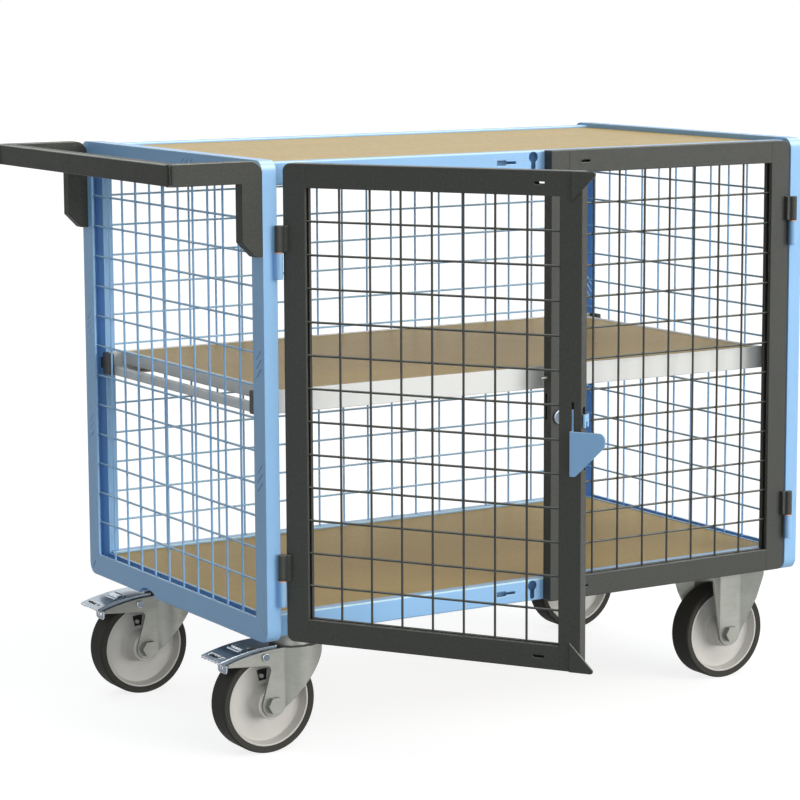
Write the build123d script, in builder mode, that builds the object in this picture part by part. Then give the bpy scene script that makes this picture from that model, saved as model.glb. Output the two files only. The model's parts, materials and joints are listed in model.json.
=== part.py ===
from build123d import *
import os
from collections import namedtuple
from math import acos, atan2, cos, degrees, hypot, radians, sin, sqrt, tan

# Mesh cabinet trolley: worktop, shelf, two hinged doors, push handle, two swivel and two fixed casters.
# Millimetres, +Z up. +X runs towards the fixed casters, -Y faces the doors, and the origin is on the
# floor under the middle of the cabinet. Heights named *_HEIGHT_AT are above the frame's lower edge.

# Cabinet frame
FRAME_LENGTH = 1020.0
FRAME_WIDTH = 625.0
FRAME_HEIGHT = 730.0
POST_DEPTH = 24.0
POST_WIDTH = 35.0
END_RAIL_HEIGHT = 36.0
CORNER_RADIUS = 19.0
FRAME_WALL = 2.0
CUT_SPARE = 1.0
CHANNEL_LIP = 4.0
SLIT_LENGTH = 23.5
SLIT_WIDTH = 2.0
SLIT_PITCH = 14.0
SLIT_COUNT = 3
SLIT_TILT = 45.0
SLIT_HEIGHTS_AT = (252.0, 425.0)
SLIT_RAIL_Y = -66.0
MITRE_SLIT_LENGTH = 14.0
NOTCH_HALF_WIDTH = 27.6
NOTCH_HEIGHT = 10.8
NOTCH_Y = 95.6
FLANGE_WIDTH = 15.0

# Long rails between the end frames
RAIL_HEIGHT = 35.0
RAIL_DEPTH = 20.0
RAIL_INSET = 4.0
RAIL_EDGE_RADIUS = 3.0
LEDGE_WIDTH = 8.0
LEDGE_THICK = 2.5
KEYHOLE_X = -14.0
KEYHOLE_DIAMETER = 17.0
KEYHOLE_SLOT = 8.0
KEYHOLE_DROP = 10.6
KEYHOLE_LENGTH = 21.6
BOTTLE_SLOT_X = -82.0
BOTTLE_SLOT_LENGTH = 35.0
BOTTLE_BODY_LENGTH = 17.0
BOTTLE_BODY = 8.0
BOTTLE_NECK = 4.0

# Boards
BOARD_THICK = 18.0
BOARD_DROP = 4.0
BOARD_GAP = 1.0
BEARER_WIDTH = 138.0
BEARER_THICK = 4.0

# Wire meshes
WIRE = 3.5
WIRE_PITCH = 50.0
WIRE_LAYER_GAP = 0.1
WIRE_CLEARANCE = 0.25
MESH_MARGIN = 40.0
BACK_MESH_MARGIN = 10.0
END_MESH_INSET = 6.0
BACK_MESH_INSET = 3.0
DOOR_MESH_DEPTH = 8.0
DOOR_MESH_ENTRY = 10.0

# Doors and hinges
DOOR_THICK = 20.0
DOOR_WALL = 1.5
DOOR_STILE = 36.0
DOOR_FREE_STILE = 34.0
DOOR_RAIL = 36.0
DOOR_CORNER_RADIUS = 12.0
DOOR_MEETING_GAP = 14.0
DOOR_POST_GAP = 3.0
DOOR_STOP_GAP = 0.5
DOOR_LAP_CLEARANCE = 0.5
DOOR_SLOT_LENGTH = 18.0
DOOR_SLOT_HEIGHT = 4.0
DOOR_SLOT_INSET = 22.0
LEFT_DOOR_ANGLE = 57.0
KNUCKLE_DIAMETER = 12.0
KNUCKLE_LENGTH = 39.5
KNUCKLE_LEAF = 12.0
KNUCKLE_STANDOFF = 1.0
PIN_DIAMETER = 7.0
PIN_INSET = 1.0
WASHER_THICK = 1.0
WASHER_DIAMETER = 13.6
HINGE_HEIGHTS_AT = (96.8, 593.4)
STOP_THICK = 3.0
STOP_HEIGHT = 43.0
STOP_INSET = 16.0
STOP_OVERHANG = 26.0
STOP_TIP_RADIUS = 4.0

# Latch and lock
LATCH_THICK = 3.0
LATCH_SPARE_LIFT = 1.5
LATCH_SLIT_INSET = 13.2
LATCH_SLIT_CLEARANCE = 0.4
GRIP_BELOW_LOCK = 11.6
GRIP_TALL = 65.0
GRIP_WIDE = 54.0
GRIP_TIP_TALL = 19.0
GRIP_FOOT = 8.0
GRIP_STANDOFF = 5.0
GRIP_LOW_RADIUS = 4.0
GRIP_TIP_RADIUS = 9.0
BLADE_SPARE = 7.3
BLADE_REACH = 13.0
STRIKE_ABOVE_LOCK = 63.0
STRIKE_DIAMETER = 5.0
STRIKE_DEPTH = 10.5
STRIKE_TIP_GAP = 1.0
HOOK_GAP = 1.5
HOOK_WIDTH = 16.0
HOOK_DROP = 2.5
HOOK_WEB = 1.0
HOOK_CLEARANCE = 0.7
TONGUE_HEIGHT = 9.5
EDGE_SLOT_WIDTH = 10.0
SLOT_CLEARANCE = 1.5
LOCK_HEIGHT_AT = 303.0
LOCK_INSET = 16.4
LOCK_FACE_DIAMETER = 24.0
LOCK_FACE_THICK = 4.0
LOCK_BODY_DIAMETER = 18.0
KEYWAY_WIDTH = 2.0
KEYWAY_HEIGHT = 9.0
CAM_WIDTH = 8.0
CAM_THICK = 2.0
CAM_ENGAGE = 6.0
CAM_DEPTH = 12.0

# Shelf
SHELF_TOP_AT = 378.0
SHELF_RAIL_HEIGHT = 36.0
SHELF_RAIL_FLANGE = 26.0
SHELF_RAIL_WALL = 2.5
SHELF_RAIL_GAP = 7.5
SHELF_END_GAP = 11.0
SHELF_CAP_LENGTH = 8.0
SHELF_LIP = 2.0
SHELF_BAR_WIDTH = 10.0
SHELF_BAR_HEIGHT = 15.0
SHELF_BAR_RADIUS = 4.0
SHELF_EDGE_INSET = 25.0
SHELF_EDGE_WIDTH = 12.0
SHELF_BEARING = 14.0

# Push handle
HANDLE_REACH = 153.0
HANDLE_ARM_HEIGHT = 33.0
HANDLE_ARM_THICK = 20.0
HANDLE_LEG_WIDTH = 34.0
HANDLE_LEG_BOTTOM_AT = 588.0
HANDLE_LEG_CHAMFER = 22.0
HANDLE_END_RADIUS = 10.0
HANDLE_BAR_THICK = 20.0
HANDLE_BAR_INSET = 2.0
HANDLE_WALL = 2.0

# Casters
WHEEL_DIAMETER = 160.0
TYRE_WIDTH = 40.0
TYRE_SHOULDER = 3.0
RIM_DIAMETER = 138.0
RIM_WIDTH = 36.0
RIM_LIP = 2.8
RIM_DISH = 3.0
RIM_WEB = 8.0
HUB_DIAMETER = 54.0
HUB_END_DIAMETER = 48.0
HUB_LENGTH = 62.0
POCKET_AT = 42.0
POCKET_LENGTH = 18.0
POCKET_WIDTH = 15.0
POCKET_DEPTH = 6.0
POCKET_ANGLE = 94.0
FIXED_POCKET_ANGLE = 90.0
NIPPLE_DIAMETER = 7.0
NIPPLE_SHIFT = 3.0
AXLE_DIAMETER = 12.0
AXLE_HEAD_FLATS = 24.0
AXLE_HEAD_THICK = 10.0
RUNNING_CLEARANCE = 0.1
CASTER_INSET = 53.5
SWIVEL_TRAIL = 51.0
FORK_SHEET = 4.0
FORK_INNER_WIDTH = 64.0
FORK_LEG_RADIUS = 19.0
FORK_BEND_RADIUS = 5.0
FORK_WING_REACH = 129.0
FORK_WING_DEPTH = 22.0
FORK_WING_TIP = 4.5
FORK_WING_LIFT = 6.0
FORK_WINDOW_SHIFT = 2.0
FORK_WINDOW_RADIUS = 8.0
CROWN_RADIUS = 48.0
CROWN_SKIRT = 1.0
CROWN_CLEARANCE = 4.0
FIXED_LEG_RADIUS = 21.0
FIXED_WING_LENGTH = 40.0
FIXED_WING_ANGLE = 38.0
FIXED_EDGE_DROP = 8.0
FIXED_EDGE_HEIGHT = 50.0
FIXED_EDGE_TAPER = 11.5
RACE_DIAMETER = 72.0
RACE_HEIGHT = 31.0
RACE_LOWER_HEIGHT = 12.0
RACE_TAPER = 10.0
RACE_GAP = 0.3
KING_PIN_DIAMETER = 16.0
KING_PIN_HEAD = 26.0
PLATE_LENGTH = 130.0
PLATE_WIDTH = 100.0
PLATE_THICK = 6.0
PLATE_CORNER_RADIUS = 10.0
BOLT_SPACING_X = 105.0
BOLT_SPACING_Y = 75.0
BOLT_DIAMETER = 10.0
BOLT_HEAD_FLATS = 17.0
BOLT_HEAD_THICK = 6.0
PEDAL_SHEET = 2.5
PEDAL_SIDE_GAP = 0.8
PEDAL_TIP_REACH = 143.0
PEDAL_PIVOT_DIAMETER = 8.0
PEDAL_EAR_RADIUS = 8.0
PEDAL_PIVOT_SHIFT = 14.0
PEDAL_PIVOT_DROP = 7.0
PEDAL_RIVET_HEAD = 12.0
PEDAL_ANGLE = 6.0
PEDAL_BACK_SHIFT = 9.0
PEDAL_RISE = 4.5
PEDAL_TIP_DROP = 16.5
PEDAL_RIB_RADIUS = 3.0
PEDAL_RIB_RISE = 1.4
PEDAL_RIB_LENGTH = 36.0
PEDAL_RIBS_AT = (42.0, 59.0)
PEDAL_WINDOW_AT = 12.0
PEDAL_WINDOW_LENGTH = 7.0
PEDAL_WIDE_WINDOW = 30.0
PEDAL_SMALL_WINDOW = 10.0
PEDAL_WINDOW_WEB = 5.0
PEDAL_FLANGE = 7.0
PEDAL_TOOTH = 4.0
PEDAL_TEETH = 6
STIRRUP_INSET = 21.6
STIRRUP_WIDTH = 29.0
STIRRUP_HEIGHT = 29.0
STIRRUP_RADIUS = 5.0
STIRRUP_WINDOW_WIDTH = 12.0
STIRRUP_WINDOW_HEIGHT = 11.0
STIRRUP_FOOT = 6.0
BRAKE_SHOE_WIDTH = 30.0
BRAKE_SHOE_LENGTH = 18.0
BRAKE_SHOE_DROP = 6.0
BRAKE_SHOE_SHIFT = 23.0
BRAKE_SHOE_CLEARANCE = 0.8

# Frame planes worked out from the sizes above
half_length = FRAME_LENGTH / 2
half_width = FRAME_WIDTH / 2
inner_x = half_length - POST_DEPTH
inner_y = half_width - POST_WIDTH
rail_out = half_width - DOOR_THICK - DOOR_LAP_CLEARANCE - DOOR_STOP_GAP
rail_in = rail_out - RAIL_DEPTH
crown_low = WHEEL_DIAMETER + CROWN_CLEARANCE
crown_top = crown_low + FORK_SHEET
plate_low = crown_top + RACE_HEIGHT
caster_height = plate_low + PLATE_THICK
base_board_low = caster_height + BEARER_THICK
bottom_rail_top = base_board_low + BOARD_THICK + BOARD_DROP
frame_low = bottom_rail_top - RAIL_HEIGHT - RAIL_INSET
frame_top = frame_low + FRAME_HEIGHT
top_rail_top = frame_top - RAIL_INSET
worktop_low = top_rail_top - BOARD_DROP - BOARD_THICK
caster_x = inner_x - BEARER_WIDTH / 2
caster_y = rail_in - CASTER_INSET
wheel_z = WHEEL_DIAMETER / 2
mesh_mid_z = frame_low + FRAME_HEIGHT / 2
wire_step = WIRE + WIRE_LAYER_GAP
back_upright_y = rail_out - BACK_MESH_INSET
SIDES = (-1, 1)

os.makedirs("parts", exist_ok=True)


def save(part, name):
    """Label a finished piece and write it under its node name."""
    part.label = name
    export_step(part, f"parts/{name}.step")


def centred_row(count, pitch):
    """Places of a centred row at a pitch."""
    return [(i - (count - 1) / 2) * pitch for i in range(count)]


# End frames: mitred hollow members in the YZ plane, open inwards as channels for the mesh
def end_frame_member(side, corners, slit_places=(), notch=False):
    """The stretch of the rounded end-frame outline inside four mitre corners, with its cuts."""
    x_low = inner_x if side > 0 else -half_length
    with BuildPart() as member:
        for skin in (0.0, FRAME_WALL):
            with BuildSketch(Plane.YZ.offset(x_low + skin)):
                with Locations((0, mesh_mid_z)):
                    RectangleRounded(FRAME_WIDTH - 2 * skin, FRAME_HEIGHT - 2 * skin, CORNER_RADIUS - skin)
                    Rectangle(2 * (inner_y + skin), FRAME_HEIGHT - 2 * (END_RAIL_HEIGHT - skin),
                              mode=Mode.SUBTRACT)
                with BuildLine():
                    Polyline(*corners, close=True)
                make_face(mode=Mode.INTERSECT)
            extrude(amount=POST_DEPTH - 2 * skin, mode=Mode.SUBTRACT if skin else Mode.ADD)
        with BuildSketch(Plane.YZ.offset(side * (half_length - CHANNEL_LIP))):
            with Locations((0, mesh_mid_z)):
                Rectangle(2 * (inner_y + FRAME_WALL + CUT_SPARE),
                          FRAME_HEIGHT - 2 * (END_RAIL_HEIGHT - FRAME_WALL - CUT_SPARE))
        extrude(amount=-side * (POST_DEPTH - 2 * CHANNEL_LIP), mode=Mode.SUBTRACT)
        with BuildSketch(Plane.YZ.offset(side * half_length)):
            for side_y in SIDES:
                with Locations((side_y * (half_width - POST_WIDTH / 2), frame_low + END_RAIL_HEIGHT / 2)):
                    Rectangle(MITRE_SLIT_LENGTH, SLIT_WIDTH,
                              rotation=-side_y * degrees(atan2(END_RAIL_HEIGHT, POST_WIDTH)))
            if slit_places:
                with Locations(*slit_places):
                    Rectangle(SLIT_LENGTH, SLIT_WIDTH, rotation=side * SLIT_TILT)
        extrude(amount=FRAME_WALL + CUT_SPARE, both=True, mode=Mode.SUBTRACT)
        if notch:
            with BuildSketch(Plane.YZ.offset(side * half_length)):
                with Locations((NOTCH_Y, frame_low)):
                    Ellipse(NOTCH_HALF_WIDTH, NOTCH_HEIGHT)
            extrude(amount=-side * (POST_DEPTH - FRAME_WALL), mode=Mode.SUBTRACT)
    return member.part


def post(side_x, side_y):
    """One corner post, mitred to the end rails; a rear one has a flange that the back mesh lies on."""
    corners = [(side_y * half_width, frame_low), (side_y * inner_y, frame_low + END_RAIL_HEIGHT),
               (side_y * inner_y, frame_top - END_RAIL_HEIGHT), (side_y * half_width, frame_top)]
    middle = side_y * (half_width - POST_WIDTH / 2)
    slit_steps = centred_row(SLIT_COUNT, SLIT_PITCH)
    slits = [(middle, frame_low + at + step) for at in SLIT_HEIGHTS_AT for step in slit_steps]
    with BuildPart() as corner_post:
        add(end_frame_member(side_x, corners, slits))
        if side_y > 0:
            with BuildSketch(Plane.XY.offset(bottom_rail_top)):
                with Locations((side_x * (inner_x - FLANGE_WIDTH / 2),
                                back_upright_y - wire_step - WIRE / 2 - FRAME_WALL / 2)):
                    Rectangle(FLANGE_WIDTH, FRAME_WALL)
            extrude(amount=top_rail_top - RAIL_HEIGHT - bottom_rail_top)
    return corner_post.part


def end_rail(side_x, top):
    """The top or bottom rail of an end frame, mitred to the posts."""
    outer = frame_top if top else frame_low
    inner = outer - END_RAIL_HEIGHT if top else outer + END_RAIL_HEIGHT
    corners = [(-half_width, outer), (half_width, outer), (inner_y, inner), (-inner_y, inner)]
    slit_z = frame_top - END_RAIL_HEIGHT / 2
    slits = [(SLIT_RAIL_Y + step, slit_z) for step in centred_row(SLIT_COUNT, SLIT_PITCH)]
    return end_frame_member(side_x, corners, slits if top else (), notch=side_x < 0 and not top)


for side_x, end_name in zip(SIDES, ("left", "right")):
    for side_y, place in zip(SIDES, ("front", "rear")):
        save(post(side_x, side_y), f"{end_name}_{place}_post")
    save(Compound(children=[end_rail(side_x, False), end_rail(side_x, True)]), f"{end_name}_end_rails")


# Long rails: hollow, with a ledge for the board, and key-shaped accessory holes in the front pair
def long_rail(side_y, top):
    """A long rail between the end frames; its ledge carries a board's edge."""
    rail_top = top_rail_top if top else bottom_rail_top
    ledge_top = worktop_low if top else base_board_low
    with BuildPart() as rail:
        with BuildSketch(Plane.YZ.offset(-inner_x)):
            with Locations((side_y * (rail_in + RAIL_DEPTH / 2), rail_top - RAIL_HEIGHT / 2)):
                RectangleRounded(RAIL_DEPTH, RAIL_HEIGHT, RAIL_EDGE_RADIUS)
                Rectangle(RAIL_DEPTH - 2 * FRAME_WALL, RAIL_HEIGHT - 2 * FRAME_WALL, mode=Mode.SUBTRACT)
            with Locations((side_y * (rail_in - LEDGE_WIDTH / 2), ledge_top - LEDGE_THICK / 2)):
                Rectangle(LEDGE_WIDTH, LEDGE_THICK)
        extrude(amount=2 * inner_x)
        if side_y < 0:
            with BuildSketch(Plane.XZ.offset(rail_out)):
                with Locations((KEYHOLE_X, rail_top - KEYHOLE_DROP)):
                    Circle(KEYHOLE_DIAMETER / 2)
                with Locations((KEYHOLE_X, rail_top - KEYHOLE_DROP - KEYHOLE_LENGTH / 2)):
                    SlotOverall(KEYHOLE_LENGTH, KEYHOLE_SLOT, rotation=90)
                with Locations((BOTTLE_SLOT_X, rail_top - RAIL_HEIGHT / 2)):
                    Rectangle(BOTTLE_SLOT_LENGTH, BOTTLE_NECK, align=(Align.MIN, Align.CENTER))
                    Rectangle(BOTTLE_BODY_LENGTH, BOTTLE_BODY, align=(Align.MIN, Align.CENTER))
            extrude(amount=FRAME_WALL + CUT_SPARE, both=True, mode=Mode.SUBTRACT)
    return rail.part


for side_y, place in zip(SIDES, ("front", "rear")):
    save(long_rail(side_y, True), f"{place}_top_rail")
    save(long_rail(side_y, False), f"{place}_bottom_rail")


# Boards lying on the ledges, and the two bearers that the casters bolt to
def deck_board(z_low):
    """A board that fills the rim of rails with a small gap all round."""
    with BuildPart() as board:
        with BuildSketch(Plane.XY.offset(z_low)):
            Rectangle(2 * (inner_x - BOARD_GAP), 2 * (rail_in - BOARD_GAP))
        extrude(amount=BOARD_THICK)
    return board.part


save(deck_board(worktop_low), "worktop_board")
save(deck_board(base_board_low), "base_board")

caster_places = [(sx * caster_x, sy * caster_y) for sx in SIDES for sy in SIDES]

with BuildPart() as bearers:
    with BuildSketch(Plane.XY.offset(base_board_low)):
        with Locations((-caster_x, 0), (caster_x, 0)):
            Rectangle(BEARER_WIDTH, 2 * (rail_in - LEDGE_WIDTH))
        with Locations(*caster_places):
            with GridLocations(BOLT_SPACING_X, BOLT_SPACING_Y, 2, 2):
                Circle(BOLT_DIAMETER / 2 + RUNNING_CLEARANCE, mode=Mode.SUBTRACT)
    extrude(amount=-BEARER_THICK)
save(bearers.part, "base_bearers")


# Wire meshes: uprights and courses in two layers that lie on each other
def wire_row(span, margin):
    """Centred places of as many wires as fit a clear span at the mesh pitch."""
    return centred_row(int((span - 2 * margin) // WIRE_PITCH) + 1, WIRE_PITCH)


course_heights = [mesh_mid_z + step for step in wire_row(FRAME_HEIGHT - 2 * END_RAIL_HEIGHT, MESH_MARGIN)]


def end_mesh(side_x):
    """Mesh of an end frame, uprights outside, with its wires let into the channels of rails and posts."""
    x_upright = side_x * (half_length - END_MESH_INSET)
    x_course = x_upright - side_x * wire_step
    with BuildPart() as mesh:
        with BuildSketch(Plane.XY.offset(frame_low + FRAME_WALL)):
            with Locations(*[(x_upright, y) for y in wire_row(2 * inner_y, MESH_MARGIN)]):
                Circle(WIRE / 2)
        extrude(amount=FRAME_HEIGHT - 2 * FRAME_WALL)
        with BuildSketch(Plane.XZ.offset(-half_width + FRAME_WALL)):
            with Locations(*[(x_course, z) for z in course_heights]):
                Circle(WIRE / 2)
        extrude(amount=FRAME_WIDTH - 2 * FRAME_WALL)
    return mesh.part


save(end_mesh(-1), "left_mesh")
save(end_mesh(1), "right_mesh")

with BuildPart() as back_mesh:
    with BuildSketch(Plane.XY.offset(bottom_rail_top)):
        with Locations(*[(x, back_upright_y) for x in wire_row(2 * inner_x, BACK_MESH_MARGIN)]):
            Circle(WIRE / 2)
    extrude(amount=top_rail_top - RAIL_HEIGHT - bottom_rail_top)
    with BuildSketch(Plane.YZ.offset(-inner_x)):
        with Locations(*[(back_upright_y - wire_step, z) for z in course_heights]):
            Circle(WIRE / 2)
    extrude(amount=2 * inner_x)
save(back_mesh.part, "back_mesh")

# Shelf: angle rails hung on the posts, capped at their ends, with cross bars and end channels for the board
shelf_rail_out = inner_y - SHELF_RAIL_GAP
shelf_rail_in = shelf_rail_out - SHELF_RAIL_FLANGE
shelf_end = half_length - SHELF_END_GAP
shelf_rail_end = shelf_end - SHELF_CAP_LENGTH
shelf_board_low = frame_low + SHELF_TOP_AT - BOARD_THICK
shelf_rail_top = frame_low + SHELF_TOP_AT + SHELF_LIP
shelf_rail_low = shelf_rail_top - SHELF_RAIL_HEIGHT
shelf_edge_out = shelf_rail_end - SHELF_EDGE_INSET
shelf_board_end = shelf_edge_out - SHELF_EDGE_WIDTH
shelf_edge_height = shelf_rail_top - shelf_board_low
shelf_rail_mid_y = (shelf_rail_out + shelf_rail_in) / 2
shelf_rail_mid_z = shelf_rail_low + SHELF_RAIL_HEIGHT / 2

with BuildPart() as shelf_rails:
    with BuildSketch(Plane.YZ.offset(-shelf_rail_end)):
        for side_y in SIDES:
            with Locations((side_y * (shelf_rail_out - SHELF_RAIL_WALL / 2), shelf_rail_mid_z)):
                Rectangle(SHELF_RAIL_WALL, SHELF_RAIL_HEIGHT)
            with Locations((side_y * shelf_rail_mid_y, shelf_rail_low + SHELF_RAIL_WALL / 2)):
                Rectangle(SHELF_RAIL_FLANGE, SHELF_RAIL_WALL)
    extrude(amount=2 * shelf_rail_end)
save(shelf_rails.part, "shelf_rails")

with BuildPart() as shelf_end_caps:
    for side_x in SIDES:
        with BuildSketch(Plane.YZ.offset(side_x * shelf_rail_end)):
            for side_y in SIDES:
                with Locations((side_y * shelf_rail_mid_y, shelf_rail_mid_z)):
                    RectangleRounded(SHELF_RAIL_FLANGE, SHELF_RAIL_HEIGHT, RAIL_EDGE_RADIUS)
        extrude(amount=side_x * SHELF_CAP_LENGTH)
        with BuildSketch(Plane.YZ.offset(side_x * inner_x)):
            for side_y in SIDES:
                with Locations((side_y * (shelf_rail_out + inner_y) / 2, shelf_rail_mid_z)):
                    Rectangle(SHELF_RAIL_GAP, SHELF_RAIL_HEIGHT / 2)
        extrude(amount=side_x * (shelf_end - inner_x))
save(shelf_end_caps.part, "shelf_end_caps")

with BuildPart() as shelf_cross_bars:
    bar_x = shelf_rail_end - SHELF_BAR_WIDTH / 2
    bar_places = [(sx * bar_x, shelf_rail_low + SHELF_BAR_HEIGHT / 2) for sx in SIDES]
    with BuildSketch(Plane.XZ.offset(-shelf_rail_in)):
        with Locations(*bar_places):
            bar_faces = Rectangle(SHELF_BAR_WIDTH, SHELF_BAR_HEIGHT)
        fillet(bar_faces.vertices().group_by(Axis.Y)[-1], SHELF_BAR_RADIUS)
        with Locations(*bar_places):
            Rectangle(SHELF_BAR_WIDTH - 2 * SHELF_RAIL_WALL, SHELF_BAR_HEIGHT - 2 * SHELF_RAIL_WALL,
                      mode=Mode.SUBTRACT)
    extrude(amount=2 * shelf_rail_in)
save(shelf_cross_bars.part, "shelf_cross_bars")

with BuildPart() as shelf_board:
    with BuildSketch(Plane.XY.offset(shelf_board_low)):
        Rectangle(2 * shelf_board_end, 2 * (shelf_rail_out - SHELF_RAIL_WALL - BOARD_GAP))
    extrude(amount=BOARD_THICK)
save(shelf_board.part, "shelf_board")

with BuildPart() as shelf_board_edges:
    edge_half = shelf_rail_out - SHELF_RAIL_WALL
    edge_places = [(sx * (shelf_edge_out - SHELF_EDGE_WIDTH / 2), shelf_board_low + shelf_edge_height / 2)
                   for sx in SIDES]
    tongue_width = SHELF_EDGE_WIDTH / 2 + SHELF_BEARING
    with BuildSketch(Plane.XZ.offset(-edge_half)):
        with Locations(*edge_places):
            edge_faces = Rectangle(SHELF_EDGE_WIDTH, shelf_edge_height)
        fillet(edge_faces.vertices().group_by(Axis.Y)[-1], SHELF_BAR_RADIUS)
        with Locations(*edge_places):
            Rectangle(SHELF_EDGE_WIDTH - 2 * SHELF_RAIL_WALL, shelf_edge_height - 2 * SHELF_RAIL_WALL,
                      mode=Mode.SUBTRACT)
        with Locations(*[(sx * (shelf_board_end - SHELF_BEARING + tongue_width / 2),
                          shelf_board_low - SHELF_RAIL_WALL / 2) for sx in SIDES]):
            Rectangle(tongue_width, SHELF_RAIL_WALL)
    extrude(amount=2 * edge_half)
save(shelf_board_edges.part, "shelf_board_edges")

# Push handle: two hollow arms with a leg down the post, and a bar let into their ends
handle_end = half_length + HANDLE_REACH
handle_leg_low = frame_low + HANDLE_LEG_BOTTOM_AT
handle_leg_out = half_length + HANDLE_LEG_WIDTH
handle_arm_low = frame_top - HANDLE_ARM_HEIGHT
bar_outer = handle_end - HANDLE_BAR_INSET
bar_half = half_width - HANDLE_ARM_THICK / 2


def handle_arm(side_y):
    """One arm with its leg; the inner half of its end is cut away to take the bar."""
    with BuildPart() as arm:
        for skin in (0.0, HANDLE_WALL):
            with BuildSketch(Plane.XZ.offset(-side_y * (half_width - skin))):
                with BuildLine():
                    Polyline((-half_length, handle_leg_low), (-half_length, frame_top),
                             (-handle_end, frame_top), (-handle_end, handle_arm_low),
                             (-handle_leg_out, handle_arm_low),
                             (-handle_leg_out, handle_leg_low + HANDLE_LEG_CHAMFER),
                             (-handle_leg_out + HANDLE_LEG_CHAMFER, handle_leg_low), close=True)
                outline = make_face()
                fillet(outline.vertices().group_by(Axis.Y)[-1].sort_by(Axis.X)[-1], CORNER_RADIUS)
                if skin:
                    offset(amount=-skin, mode=Mode.REPLACE)
            extrude(amount=side_y * (HANDLE_ARM_THICK - 2 * skin), mode=Mode.SUBTRACT if skin else Mode.ADD)
        outer_edges = arm.edges().filter_by(Axis.Z).group_by(Axis.X)[0].sort_by(Axis.Y)
        fillet(outer_edges[-1 if side_y > 0 else 0], HANDLE_END_RADIUS)
        with BuildSketch(Plane.XY.offset(frame_top)):
            with Locations((-handle_end + (HANDLE_BAR_INSET + HANDLE_BAR_THICK) / 2, 0)):
                Rectangle(HANDLE_BAR_INSET + HANDLE_BAR_THICK, 2 * bar_half)
        extrude(amount=-HANDLE_ARM_HEIGHT, mode=Mode.SUBTRACT)
    return arm.part


save(Compound(children=[handle_arm(-1), handle_arm(1)]), "handle_arms")

with BuildPart() as handle_bar:
    with BuildSketch(Plane.XZ.offset(-bar_half)):
        with Locations((-bar_outer + HANDLE_BAR_THICK / 2, frame_top - HANDLE_ARM_HEIGHT / 2)):
            RectangleRounded(HANDLE_BAR_THICK, HANDLE_ARM_HEIGHT, RAIL_EDGE_RADIUS)
            Rectangle(HANDLE_BAR_THICK - 2 * HANDLE_WALL, HANDLE_ARM_HEIGHT - 2 * HANDLE_WALL,
                      mode=Mode.SUBTRACT)
    extrude(amount=2 * bar_half)
save(handle_bar.part, "handle_bar")

# Doors: each is drawn from its hinge pin, with x towards the free edge and depth into the cabinet. Their
# bars are open towards the mesh, as channels that its wires are let into.
Door = namedtuple("Door", "name pin along inward turn front")
pin_x = inner_x + PIN_INSET
pin_front = KNUCKLE_DIAMETER / 2 + KNUCKLE_STANDOFF
pin_y = half_width + pin_front
opening = radians(LEFT_DOOR_ANGLE)
left_door = Door("left_door", Vector(-pin_x, -pin_y, 0), Vector(cos(opening), -sin(opening), 0),
                 Vector(sin(opening), cos(opening), 0), 1, pin_front)
right_door = Door("right_door", Vector(pin_x, -pin_y, 0), Vector(-1, 0, 0), Vector(0, 1, 0), -1,
                  pin_front + DOOR_LAP_CLEARANCE)
door_edge_near = PIN_INSET + DOOR_POST_GAP
door_edge_free = pin_x - DOOR_MEETING_GAP / 2
door_low = frame_low + RAIL_INSET
door_top = frame_top - RAIL_INSET
door_stile_in = door_edge_near + DOOR_STILE
door_free_in = door_edge_free - DOOR_FREE_STILE
groove_front = DOOR_MESH_DEPTH - WIRE / 2 - WIRE_CLEARANCE
groove_width = wire_step + WIRE + 2 * WIRE_CLEARANCE


def face_plane(door, depth):
    """Plane parallel to the door's face at a depth behind its front: x to the free edge, y up."""
    return Plane(door.pin + door.inward * (door.front + depth), door.along, door.inward * -door.turn)


def plan_plane(door, height):
    """Level plane at a height: x to the free edge, y times the door's turn into the cabinet."""
    return Plane(door.pin + Vector(0, 0, height), door.along, Vector(0, 0, 1))


def cross_plane(door, reach):
    """Upright plane square to the door at a reach from the pin: x up, y times -turn into the cabinet."""
    return Plane(door.pin + door.along * reach, Vector(0, 0, 1), door.along)


def door_bar(door, x_span, z_spans, open_ends, rounded):
    """Hollow bars of a door: rails with open ends, or a stile with closed ends and rounded corners."""
    bars = []
    grown = 2 * (DOOR_WALL + CUT_SPARE)
    slot_x = door_free_in - DOOR_SLOT_INSET - DOOR_SLOT_LENGTH / 2
    for z_low, z_high in z_spans:
        with BuildPart() as bar:
            for skin in (0.0, DOOR_WALL):
                end_skin = 0.0 if open_ends else skin
                wide = x_span[1] - x_span[0] - 2 * end_skin
                with BuildSketch(face_plane(door, skin)):
                    with Locations(((x_span[0] + x_span[1]) / 2, (z_low + z_high) / 2)):
                        outline = Rectangle(wide, z_high - z_low - 2 * skin)
                    if rounded and not skin:
                        fillet(outline.vertices().group_by(Axis.X)[0], DOOR_CORNER_RADIUS)
                extrude(amount=DOOR_THICK - 2 * skin, dir=door.inward,
                        mode=Mode.SUBTRACT if skin else Mode.ADD)
            if open_ends:
                with BuildSketch(face_plane(door, 0)):
                    with Locations((slot_x, (z_low + z_high) / 2)):
                        SlotOverall(DOOR_SLOT_LENGTH, DOOR_SLOT_HEIGHT)
                extrude(amount=DOOR_THICK, dir=door.inward, mode=Mode.SUBTRACT)
            with BuildSketch(face_plane(door, groove_front)):
                with Locations(((door_stile_in + door_free_in) / 2, mesh_mid_z)):
                    Rectangle(door_free_in - door_stile_in + grown,
                              door_top - door_low - 2 * DOOR_RAIL + grown)
            extrude(amount=groove_width, dir=door.inward, mode=Mode.SUBTRACT)
        bars.append(bar.part)
    return bars[0] if len(bars) == 1 else Compound(children=bars)


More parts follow.
